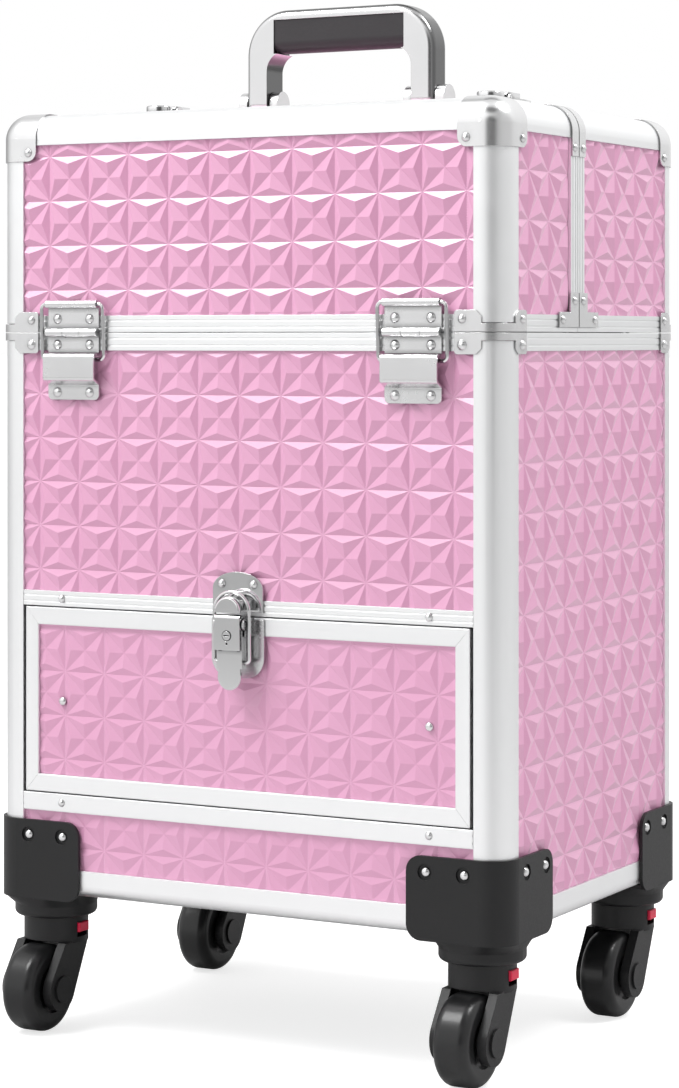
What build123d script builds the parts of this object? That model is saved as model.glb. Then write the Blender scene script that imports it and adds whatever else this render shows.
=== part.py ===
from build123d import *
import math
import os

os.makedirs("parts", exist_ok=True)

# A rolling make-up train case: an aluminium-framed box on four casters, with a lid split in two
# halves, a drawer in the body, draw latches, a folding carry handle and a telescopic trolley handle.
# Millimetres. X is the width, Y the depth with the drawer side at -Y, Z is up.
# The origin is the centre of the case's underside.

# ---- driving dimensions of the case
CASE_WIDTH = 340.0
CASE_DEPTH = 251.2
SEAM_Z = 337.8
CASE_TOP = 469.5
SPLIT_Y = -26.0
CORNER_RADIUS = 15.0
FLANGE = 18.9
WALL = 2.0
PANEL = 4.0
PANEL_RECESS = 2.2
FIT = 0.2

# ---- rails and openings of the body
BOTTOM_RAIL_TOP = 16.0
LOWER_DIVIDER = (50.4, 61.1)
UPPER_DIVIDER = (173.7, 182.7)
SEAM_RAIL = 10.4
SPLIT_STILE = 9.3
BOTTOM_RAIL_RADIUS = 7.0

# ---- drawer
DRAWER_HALF_WIDTH = 149.0
DRAWER_LOW = 62.0
DRAWER_HIGH = 172.8
DRAWER_BOX_HALF = 137.5
DRAWER_BOX_BACK = 106.0
RUNNER_Z = 113.0

# ---- hinges and lid stays
HINGE_X = 114.0
HINGE_HALF = 18.0
HINGE_STANDOFF = 2.6
KNUCKLE_R = 2.5
PIN_R = 1.25
CURL_UP = 17.0
STAY_BAR_DOWN = 16.2
STAY_HALF = 21.8
STAY_WIRE_R = 1.2

# ---- casters
SWIVEL_X = 144.4
SWIVEL_Y = 100.0
WHEEL_R = 26.0
WHEEL_WIDTH = 22.0
TRAIL = 19.0
GROUND_Z = -83.5
NECK_R = 19.5
RING_R = 25.0
RING_LOW = -15.6

# ---- carry handle
HANDLE_HALF = 65.5
HANDLE_ARM = 15.0
HANDLE_Y = (-6.0, 14.0)
HANDLE_TOP = 538.5
HANDLE_PIVOT_Z = 480.6

# ---- trolley handle
TUBE_X = 75.0
TUBE_Y = 133.0
TROLLEY_TOP = 328.0

X_FACE = CASE_WIDTH / 2
Y_FACE = CASE_DEPTH / 2
RAIL_X = X_FACE - FLANGE - FIT
RAIL_Y = Y_FACE - FLANGE - FIT
INNER_LEG = WALL + PANEL + 2 * FIT
LEG = 1.5
INSIDE = INNER_LEG + LEG
PANEL_OUT = PANEL_RECESS
PANEL_IN = PANEL_RECESS + PANEL
PANEL_EDGE = CORNER_RADIUS - 0.9
WEB = 1.8
LID_LOW = SEAM_Z + FIT + 0.05
BODY_HIGH = SEAM_Z - FIT - 0.05
SPLIT_GAP = 0.3
LATCH_X = 115.0
DRAWER_LATCH_PIVOT_Z = 169.5
TOP_LATCH_PIVOT_Y = SPLIT_Y + 5.5

FRONT_SECTION = Plane(origin=(RAIL_X, 0, 0), x_dir=(0, -1, 0), z_dir=(-1, 0, 0))
REAR_SECTION = Plane(origin=(-RAIL_X, 0, 0), x_dir=(0, 1, 0), z_dir=(1, 0, 0))
TOP_SECTION = Plane(origin=(RAIL_X, 0, 0), x_dir=(0, 0, 1), z_dir=(-1, 0, 0))


def finish(part, label):
    """Labels a finished sub-part and writes it as its own STEP file."""
    part.label = label
    export_step(part, f"parts/{label}.step")


def patch(x_range, y_range, mode=Mode.ADD):
    """A rectangle between two x and two y values of the active sketch."""
    with Locations(((x_range[0] + x_range[1]) / 2, (y_range[0] + y_range[1]) / 2)):
        Rectangle(x_range[1] - x_range[0], y_range[1] - y_range[0], mode=mode)


def block(x_range, y_range, z_range, mode=Mode.ADD):
    """A box between two x, two y and two z values of the active part."""
    middle = [(low + high) / 2 for low, high in (x_range, y_range, z_range)]
    size = [high - low for low, high in (x_range, y_range, z_range)]
    with Locations(tuple(middle)):
        Box(*size, mode=mode)


def rod(start, direction, radius, length, mode=Mode.ADD):
    """A cylinder that starts at a point and runs along a direction."""
    with Locations(Plane(origin=start, z_dir=direction)):
        Cylinder(radius, length, align=(Align.CENTER, Align.CENTER, Align.MIN), mode=mode)


def rivets(spots, normal, radius=2.5, dome_angle=22):
    """Domed rivet heads at the given points, all facing along normal."""
    for spot in spots:
        with Locations(Plane(origin=spot, z_dir=normal)):
            Sphere(
                radius / math.cos(math.radians(dome_angle)),
                arc_size1=dome_angle,
                align=(Align.CENTER, Align.CENTER, Align.MIN),
            )


def channel(plane, face, low, high, closed_high, outer_fillet=0.0):
    """Section of a U-shaped rail that caps a panel edge, with its outer face at +face."""
    groove_depth = 0.5
    groove_width = 0.9
    with BuildSketch(plane) as section:
        patch((face - WALL, face), (low, high))
        patch((face - INSIDE, face - INNER_LEG), (low, high))
        if closed_high:
            patch((face - INSIDE, face), (high - WEB, high))
        else:
            patch((face - INSIDE, face), (low, low + WEB))
        if outer_fillet:
            patch((face - 5.5, face - WALL), (low + WEB, low + 4.8))
            outer_low = Axis((0, 0, 0), (1, -1, 0))
            fillet(section.vertices().sort_by(outer_low)[-1], outer_fillet)
        else:
            for share in (0.3, 0.7):
                groove = low + share * (high - low)
                patch(
                    (face - groove_depth, face + groove_depth),
                    (groove - groove_width / 2, groove + groove_width / 2),
                    mode=Mode.SUBTRACT,
                )
    return section.sketch


def rounded_corner_section(plane):
    """Section of the rounded corner extrusion, with its virtual sharp corner at the plane's origin."""
    with BuildSketch(plane) as section:
        with BuildLine():
            outer = CORNER_RADIUS
            inner = CORNER_RADIUS - WALL
            Line((-FLANGE, 0), (-outer, 0))
            CenterArc((-outer, -outer), outer, 0, 90)
            Line((0, -outer), (0, -FLANGE))
            Line((0, -FLANGE), (-WALL, -FLANGE))
            Line((-WALL, -FLANGE), (-WALL, -outer))
            CenterArc((-outer, -outer), inner, 0, 90)
            Line((-outer, -WALL), (-FLANGE, -WALL))
            Line((-FLANGE, -WALL), (-FLANGE, 0))
        make_face()
        patch((-FLANGE, -INNER_LEG), (-INSIDE, -INNER_LEG))
        patch((-INSIDE, -INNER_LEG), (-FLANGE, -INNER_LEG))
        patch((-INSIDE - 0.1, -5.0), (-INSIDE - 0.1, -5.0))
    return section.sketch


def rounded_block(grow):
    """The rounded outer corner of the case at +X, +Y, +Z, grown outwards by a small amount."""
    with BuildPart() as corner:
        block((100, X_FACE + grow), (60, Y_FACE + grow), (400, CASE_TOP + grow))
        far = corner.vertices().sort_by(Axis.X)[-4:].sort_by(Axis.Y)[-2:].sort_by(Axis.Z)[-1]
        fillet([e for e in corner.edges() if far in e.vertices()], CORNER_RADIUS + grow)
    return corner.part


def rounded_column(grow, reach_x, reach_y, low, high):
    """A column at the case's +X, +Y corner with the case's rounding, grown outwards by a small amount."""
    with BuildPart() as column:
        block((reach_x, X_FACE + grow), (reach_y, Y_FACE + grow), (low, high))
        upright = column.edges().filter_by(Axis.Z)
        fillet(upright.sort_by(Axis((0, 0, 0), (1, 1, 0)))[-1], CORNER_RADIUS + grow)
    return column.part


def corner_band(grow_out, grow_in, reach_x, reach_y, low, high):
    """A thin sheet wrapped round the case's vertical corner at +X, +Y."""
    with BuildPart() as band:
        add(rounded_column(grow_out, reach_x, reach_y, low, high))
        add(rounded_column(grow_in, reach_x - 1, reach_y - 1, low - 1, high + 1), mode=Mode.SUBTRACT)
    return band.part


def rounded_ridge(grow, reach_x, low, y_range):
    """A bar along the case's upper edge at +X with the case's rounding, grown by a small amount."""
    with BuildPart() as ridge:
        block((reach_x, X_FACE + grow), y_range, (low, CASE_TOP + grow))
        along = ridge.edges().filter_by(Axis.Y)
        fillet(along.sort_by(Axis((0, 0, 0), (1, 0, 1)))[-1], CORNER_RADIUS + grow)
    return ridge.part


# =====================================================================================
# Body: panels, rails, corner posts, fittings
# =====================================================================================

panel_x = X_FACE - PANEL_EDGE
panel_y = Y_FACE - PANEL_EDGE
front_skin = (-Y_FACE + PANEL_OUT, -Y_FACE + PANEL_IN)
rear_skin = (Y_FACE - PANEL_IN, Y_FACE - PANEL_OUT)
side_skin = (X_FACE - PANEL_IN, X_FACE - PANEL_OUT)
panel_low = 5.2
panel_high = BODY_HIGH - WEB - FIT

with BuildPart() as front_panels:
    block((-panel_x, panel_x), front_skin, (UPPER_DIVIDER[0] + WEB + FIT, panel_high))
    block((-panel_x, panel_x), front_skin, (panel_low, LOWER_DIVIDER[1] - WEB - FIT))
finish(front_panels.part, "front_panels")

with BuildPart() as side_panels:
    block(side_skin, (-panel_y, panel_y), (panel_low, panel_high))
    mirror(about=Plane.YZ)
finish(side_panels.part, "side_panels")

with BuildPart() as rear_panel:
    block((-panel_x, panel_x), rear_skin, (panel_low, panel_high))
finish(rear_panel.part, "rear_panel")

inner_x = X_FACE - INSIDE - FIT
inner_y = Y_FACE - INSIDE - FIT
BOTTOM_PANEL = 5.0
SHELF_Z = (UPPER_DIVIDER[0] + 3, UPPER_DIVIDER[0] + 7)

SOCKET_CLEAR = (117.0, 72.0)
SOCKET_REBATE = 0.4

with BuildPart() as floor_panels:
    block((-inner_x, inner_x), (-inner_y, inner_y), (0, BOTTOM_PANEL))
    for x in (-1, 1):
        for y in (-1, 1):
            block(
                sorted((x * SOCKET_CLEAR[0], x * (inner_x + 1))),
                sorted((y * SOCKET_CLEAR[1], y * (inner_y + 1))),
                (-1, SOCKET_REBATE),
                mode=Mode.SUBTRACT,
            )
    block((-inner_x, inner_x), (-inner_y, inner_y), SHELF_Z)
finish(floor_panels.part, "floor_panels")

with BuildPart() as corner_posts:
    extrude(
        rounded_corner_section(Plane(origin=(X_FACE, Y_FACE, 0.1))),
        amount=SEAM_Z - 5.0,
    )
    mirror(about=Plane.YZ)
    mirror(about=Plane.XZ)
finish(corner_posts.part, "corner_posts")

with BuildPart() as body_rails:
    top_low = BODY_HIGH - SEAM_RAIL
    extrude(channel(REAR_SECTION, Y_FACE, top_low, BODY_HIGH, True), amount=2 * RAIL_X)
    extrude(
        channel(REAR_SECTION, Y_FACE, 0, BOTTOM_RAIL_TOP, False, BOTTOM_RAIL_RADIUS),
        amount=2 * RAIL_X,
    )
    mirror(about=Plane.XZ)
    extrude(channel(FRONT_SECTION, Y_FACE, *LOWER_DIVIDER, True), amount=2 * RAIL_X)
    extrude(channel(FRONT_SECTION, Y_FACE, *UPPER_DIVIDER, False), amount=2 * RAIL_X)
    for side in (1, -1):
        plane = Plane(origin=(0, side * RAIL_Y, 0), x_dir=(side, 0, 0), z_dir=(0, -side, 0))
        extrude(channel(plane, X_FACE, top_low, BODY_HIGH, True), amount=2 * RAIL_Y)
        extrude(
            channel(plane, X_FACE, 0, BOTTOM_RAIL_TOP, False, BOTTOM_RAIL_RADIUS),
            amount=2 * RAIL_Y,
        )
finish(body_rails.part, "body_rails")

# Sheet brackets that wrap the corners at the seam, one set on the body and one on the lid halves.
BRACKET_X = 139.6
BRACKET_Y = 97.9
BRACKET_OUT = 0.95
BRACKET_IN = 0.08
BRACKET_TALL = 12.4
BRACKET_SHORT = 5.0
RIVET_X = 144.5
RIVET_Y = 103.3
HINGE_RIVET = 11.4
BIG_RIVET_R = 3.0
STRAP_SKIN = (0.1, 1.3)
leaf_skin = (Y_FACE + 0.05, Y_FACE + 1.25)


def seam_bracket(low, high, strip_low, strip_high):
    """A corner bracket: two wings with a shorter strip that joins them round the corner."""
    with BuildPart() as bracket:
        add(corner_band(BRACKET_OUT, BRACKET_IN, BRACKET_X, BRACKET_Y, low, high))
        block((156.5, 172), (112.1, 128), (low - 1, strip_low), mode=Mode.SUBTRACT)
        block((156.5, 172), (112.1, 128), (strip_high, high + 1), mode=Mode.SUBTRACT)
        outer = low if strip_low - low > high - strip_high else high
        upright = [e for e in bracket.edges().filter_by(GeomType.LINE) if e.length < 1]
        ends = [e for e in upright if abs(e.center().Z - outer) < 0.1]
        fillet([e for e in ends if e.center().X < 140 or e.center().Y < 98.5], 2)
        chamfer([e for e in ends if 156 < e.center().X < 157 or 111.6 < e.center().Y < 112.6], 3.4)
    return bracket.part


with BuildPart() as body_brackets:
    add(seam_bracket(SEAM_Z - BRACKET_TALL, BODY_HIGH, SEAM_Z - BRACKET_SHORT + 0.3, BODY_HIGH))
    mirror(about=Plane.YZ)
    mirror(about=Plane.XZ)

with BuildPart() as body_rivets:
    proud = Y_FACE + BRACKET_OUT
    side_proud = X_FACE + BRACKET_OUT
    rivets([(RIVET_X, proud, SEAM_Z - 7.2)], (0, 1, 0), BIG_RIVET_R, 30)
    rivets([(side_proud, RIVET_Y, SEAM_Z - 7.2)], (1, 0, 0), BIG_RIVET_R, 30)
    for across in (-HINGE_RIVET, HINGE_RIVET):
        rivets([(HINGE_X + across, leaf_skin[1], SEAM_Z - 7.2)], (0, 1, 0), BIG_RIVET_R, 36)
        rivets([(HINGE_X + across, Y_FACE + STRAP_SKIN[1], SEAM_Z - 35.6)], (0, 1, 0), BIG_RIVET_R, 36)
    mirror(about=Plane.XZ)
    rivets([(123.4, -Y_FACE, 178.2), (123.4, -Y_FACE, 55.8)], (0, -1, 0))
    rivets([(10.6, -Y_FACE - 1.5, 192.0)], (0, -1, 0))
    mirror(about=Plane.YZ)
body_fittings = [*body_brackets.part.solids(), *body_rivets.part.solids()]
finish(Compound(children=body_fittings), "body_brackets_and_rivets")

# =====================================================================================
# Hinges with wire stays, the same on the front and the rear of the case
# =====================================================================================

axis_y = Y_FACE + HINGE_STANDOFF
knuckle_split = 6.1
bore_r = PIN_R + 0.07
STRAP_OUT = 7.3
STRAP_PLATE = (-13.0, -27.7)
STRAP_FOOT = (-30.9, -40.1)
LEAF_FOOT = -12.0
strap_middle = sum(STRAP_SKIN) / 2
strap_sheet = STRAP_SKIN[1] - STRAP_SKIN[0]

with BuildPart() as body_hinges:
    block((HINGE_X - HINGE_HALF, HINGE_X + HINGE_HALF), leaf_skin, (SEAM_Z + LEAF_FOOT, SEAM_Z - 2.8))
    for start in (-HINGE_HALF, knuckle_split):
        width = HINGE_HALF - knuckle_split
        left = HINGE_X + start
        block((left, left + width), leaf_skin, (SEAM_Z - 3, SEAM_Z))
        rod((left, axis_y, SEAM_Z), (1, 0, 0), KNUCKLE_R, width)
    rod((HINGE_X - 30, axis_y, SEAM_Z), (1, 0, 0), bore_r, 60, mode=Mode.SUBTRACT)
    strap_plane = Plane(origin=(HINGE_X - HINGE_HALF, 0, 0), x_dir=(0, 1, 0), z_dir=(1, 0, 0))
    strap_face = Y_FACE + STRAP_OUT - strap_sheet / 2
    with BuildSketch(strap_plane):
        with BuildLine():
            FilletPolyline(
                (Y_FACE + 1.9, SEAM_Z + STRAP_PLATE[0]),
                (strap_face, SEAM_Z + STRAP_PLATE[0]),
                (strap_face, SEAM_Z + STRAP_PLATE[1]),
                (Y_FACE + strap_middle, SEAM_Z + STRAP_FOOT[0]),
                (Y_FACE + strap_middle, SEAM_Z + STRAP_FOOT[1]),
                radius=1.6,
            )
        trace(line_width=strap_sheet)
    extrude(amount=2 * HINGE_HALF)
    foot_corners = body_hinges.edges().filter_by(Axis.Y).sort_by(Axis.Z)[:2]
    fillet(foot_corners, 3)
    mirror(about=Plane.YZ)
    mirror(about=Plane.XZ)
finish(body_hinges.part, "body_hinge_leaves_and_straps")

with BuildPart() as hinge_pins:
    rod((HINGE_X - HINGE_HALF, axis_y, SEAM_Z), (1, 0, 0), PIN_R, 2 * HINGE_HALF)
    mirror(about=Plane.YZ)
    mirror(about=Plane.XZ)
finish(hinge_pins.part, "hinge_pins")

curl_y = Y_FACE + 2.9
bar_y = Y_FACE + 1.35


def lid_leaf():
    """The lid's hinge leaf at +X, +Y: a plate with one knuckle below and a curl for the stay above."""
    with BuildPart() as leaf_part:
        ends = (HINGE_X - HINGE_HALF, HINGE_X + HINGE_HALF)
        block(ends, leaf_skin, (SEAM_Z + 2.8, SEAM_Z + CURL_UP))
        block((HINGE_X - 5.9, HINGE_X + 5.9), leaf_skin, (SEAM_Z, SEAM_Z + 3))
        rod((HINGE_X - 5.9, axis_y, SEAM_Z), (1, 0, 0), KNUCKLE_R, 11.8)
        rod((ends[0], curl_y, SEAM_Z + CURL_UP), (1, 0, 0), 2.4, 2 * HINGE_HALF)
        rod((HINGE_X - 30, axis_y, SEAM_Z), (1, 0, 0), bore_r, 60, mode=Mode.SUBTRACT)
        rod((HINGE_X - 30, curl_y, SEAM_Z + CURL_UP), (1, 0, 0), STAY_WIRE_R + 0.06, 60, mode=Mode.SUBTRACT)
    return leaf_part.part


def stay_bail():
    """The wire loop of a lid stay at +X, +Y: its top bar turns in the curl, its bottom bar in the strap."""
    rise = CURL_UP + STAY_BAR_DOWN
    length = math.hypot(rise, curl_y - bar_y)
    plane = Plane(
        origin=(HINGE_X, bar_y, SEAM_Z - STAY_BAR_DOWN),
        x_dir=(1, 0, 0),
        z_dir=(0, -rise, curl_y - bar_y),
    )
    with BuildPart() as bail:
        with BuildLine(plane) as loop:
            FilletPolyline(
                (-STAY_HALF, 0),
                (-STAY_HALF, length),
                (STAY_HALF, length),
                (STAY_HALF, 0),
                radius=3,
                close=True,
            )
        with BuildSketch(Plane(origin=loop.line @ 0, z_dir=loop.line % 0)):
            Circle(STAY_WIRE_R)
        sweep(path=loop.line)
    return bail.part


with BuildPart() as rear_stay_bails:
    add(stay_bail())
    mirror(about=Plane.YZ)
finish(rear_stay_bails.part, "rear_stay_bails")

with BuildPart() as front_stay_bails:
    add(mirror(rear_stay_bails.part, about=Plane.XZ, mode=Mode.PRIVATE))
finish(front_stay_bails.part, "front_stay_bails")

with BuildPart() as rear_hinge_leaves:
    add(lid_leaf())
    mirror(about=Plane.YZ)
finish(rear_hinge_leaves.part, "rear_hinge_leaves")

with BuildPart() as front_hinge_leaves:
    add(mirror(rear_hinge_leaves.part, about=Plane.XZ, mode=Mode.PRIVATE))
finish(front_hinge_leaves.part, "front_hinge_leaves")

# =====================================================================================
# Lid halves
# =====================================================================================

lid_top = CASE_TOP
skin_top = (lid_top - PANEL_IN, lid_top - PANEL_OUT)
lid_panel_low = LID_LOW + WEB + FIT
lid_panel_high = lid_top - PANEL_EDGE
stile_high = lid_top - FLANGE - FIT
rail_high = LID_LOW + SEAM_RAIL - 0.6
CAP_REACH = 28.5


def lid_half(sign, split_edge):
    """Panels and frame of one lid half. sign is the Y side it opens to, split_edge its edge at the split."""
    panel_split = split_edge + sign * (WEB + FIT)
    end = sorted((sign * panel_y, panel_split))
    with BuildPart() as panels:
        outer = sorted((sign * (Y_FACE - PANEL_OUT), sign * (Y_FACE - PANEL_IN)))
        block((-panel_x, panel_x), outer, (lid_panel_low, lid_panel_high))
        block((-panel_x, panel_x), end, skin_top)
        block(side_skin, end, (lid_panel_low, lid_panel_high))
        block((-side_skin[1], -side_skin[0]), end, (lid_panel_low, lid_panel_high))

    far_section = REAR_SECTION if sign > 0 else FRONT_SECTION
    far_x = far_section.origin.X
    span = sorted((sign * RAIL_Y, split_edge))
    length = span[1] - span[0]
    stile = sorted((split_edge, split_edge + sign * SPLIT_STILE))
    with BuildPart() as frame:
        extrude(channel(far_section, Y_FACE, LID_LOW, rail_high, False), amount=2 * RAIL_X)
        top_edge = Plane(origin=(far_x, sign * Y_FACE, lid_top), x_dir=(0, sign, 0), z_dir=(sign, 0, 0))
        extrude(rounded_corner_section(top_edge), amount=2 * RAIL_X)
        extrude(channel(TOP_SECTION, lid_top, *stile, sign < 0), amount=2 * RAIL_X)
        for side in (1, -1):
            start = span[1] if side > 0 else span[0]
            edge = Plane(origin=(side * X_FACE, start, lid_top), x_dir=(side, 0, 0), z_dir=(0, -side, 0))
            extrude(rounded_corner_section(edge), amount=length)
            level = Plane(origin=(0, start, 0), x_dir=(side, 0, 0), z_dir=(0, -side, 0))
            extrude(channel(level, X_FACE, LID_LOW, rail_high, False), amount=length)
        post = Plane(origin=(X_FACE, sign * Y_FACE, SEAM_Z + 5.4), x_dir=(1, 0, 0), z_dir=(0, 0, 1))
        if sign < 0:
            post = Plane(origin=post.origin, x_dir=(0, -1, 0), z_dir=(0, 0, 1))
        extrude(rounded_corner_section(post), amount=stile_high - SEAM_Z - 5.4)
        upright = Plane.XY.offset(rail_high + FIT)
        extrude(
            channel(upright, X_FACE, *stile, sign < 0),
            amount=stile_high - rail_high - FIT,
        )
        right = [s for s in frame.part.solids() if s.center().X > X_FACE - FLANGE]
        mirrored = [s for s in right if s.bounding_box().size.Z > 60]
        add([mirror(s, about=Plane.YZ, mode=Mode.PRIVATE) for s in mirrored])
    return panels.part, frame.part


def cap_reach():
    """The block that a corner cap is cut from, with its three inner edges rounded."""
    beyond = 5
    with BuildPart() as reach:
        block(
            (X_FACE - CAP_REACH, X_FACE + beyond),
            (Y_FACE - CAP_REACH, Y_FACE + beyond),
            (CASE_TOP - CAP_REACH, CASE_TOP + beyond),
        )
        near = reach.vertices().sort_by(Axis.X)[:4].sort_by(Axis.Y)[:2].sort_by(Axis.Z)[0]
        fillet([e for e in reach.edges() if near in e.vertices()], 6)
    return reach.part


def lid_caps():
    """The two pressed caps on the rear lid half's upper corners."""
    with BuildPart() as caps:
        add(rounded_block(0.9))
        add(rounded_block(0.06), mode=Mode.SUBTRACT)
        add(cap_reach(), mode=Mode.INTERSECT)
        mirror(about=Plane.YZ)
    return caps.part


def split_brackets(sign, split_edge):
    """The small riveted plates beside the split, at its foot on the sides and over its top edge."""
    leg = 11.5
    reach = 27.0
    foot_low = SEAM_Z + 2.9
    with BuildPart() as brackets:
        with BuildSketch(Plane.YZ.offset(X_FACE + BRACKET_IN)):
            near = split_edge + sign * 0.2
            patch(sorted((near, near + sign * reach)), (foot_low, SEAM_Z + 11.8))
            patch(sorted((near, near + sign * leg)), (foot_low, SEAM_Z + 23.0))
        extrude(amount=BRACKET_OUT - BRACKET_IN)
        across = sorted((split_edge + sign * 0.2, split_edge + sign * (SPLIT_STILE - 0.2)))
        wrap = rounded_ridge(BRACKET_OUT, 149, 440, across)
        add(wrap - rounded_ridge(BRACKET_IN, 140, 430, (across[0] - 1, across[1] + 1)))
        mirror(about=Plane.YZ)
    return brackets.part


front_split = SPLIT_Y - SPLIT_GAP
rear_split = SPLIT_Y + SPLIT_GAP

front_panels_set, front_frame_set = lid_half(-1, front_split)
finish(front_panels_set, "front_lid_panels")
finish(front_frame_set, "front_lid_frame")
rear_panels_set, rear_frame_set = lid_half(1, rear_split)
finish(rear_panels_set, "rear_lid_panels")
finish(rear_frame_set, "rear_lid_frame")

rear_caps = lid_caps()
finish(rear_caps, "rear_lid_caps")
front_caps = mirror(rear_caps, about=Plane.XZ, mode=Mode.PRIVATE)
finish(front_caps, "front_lid_caps")


def lid_brackets(sign, split_edge):
    """All the sheet brackets of one lid half: two at the outer corners and those beside the split."""
    with BuildPart() as brackets:
        add(seam_bracket(LID_LOW, SEAM_Z + BRACKET_TALL, LID_LOW, SEAM_Z + BRACKET_SHORT))
        mirror(about=Plane.YZ)
        if sign < 0:
            moved = mirror(brackets.part, about=Plane.XZ, mode=Mode.PRIVATE)
            add(moved, mode=Mode.REPLACE)
        add(split_brackets(sign, split_edge))
    return brackets.part


def lid_rivets(sign, split_edge):
    """The rivet heads of one lid half on its brackets, caps and hinge leaves."""
    with BuildPart() as heads:
        face = sign * (Y_FACE + BRACKET_OUT)
        side = X_FACE + BRACKET_OUT
        outward = (0, sign, 0)
        rivets([(RIVET_X, face, SEAM_Z + 7.4), (147.0, face, 446.2)], outward)
        for across in (-HINGE_RIVET, HINGE_RIVET):
            rivets([(HINGE_X + across, sign * leaf_skin[1], SEAM_Z + 8.2)], outward, BIG_RIVET_R, 36)
        near = split_edge + sign * 5.8
        far = split_edge + sign * 22.5
        spots = [(sign * RIVET_Y, SEAM_Z + 7.4), (sign * 103.3, 446.2)]
        spots += [(near, SEAM_Z + 18.5), (far, SEAM_Z + 7.4), (near, 445.0)]
        rivets([(side, y, z) for y, z in spots], (1, 0, 0))
        mirror(about=Plane.YZ)
    return heads.part


for label, sign, split_edge in (("front", -1, front_split), ("rear", 1, rear_split)):
    sheet = lid_brackets(sign, split_edge)
    heads = lid_rivets(sign, split_edge)
    finish(
        Compound(children=[*sheet.solids(), *heads.solids()]),
        f"{label}_lid_brackets_and_rivets",
    )

# =====================================================================================
# Draw latches: one on the drawer, two across the lid split
# =====================================================================================

LATCH_SHEET = (0.2, 1.4)
LATCH_HALF = 8.4
BAIL_HALF = 11.6
BAIL_WIRE_R = 1.1
BAIL_PIVOT_DOWN = 22.0
BAIL_PIVOT_IN = 1.2
BAIL_TOP = 18.4
LEVER_PIN_R = 1.5
NOSE_THICK = 4.2
LOCK_R = 2.6


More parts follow.
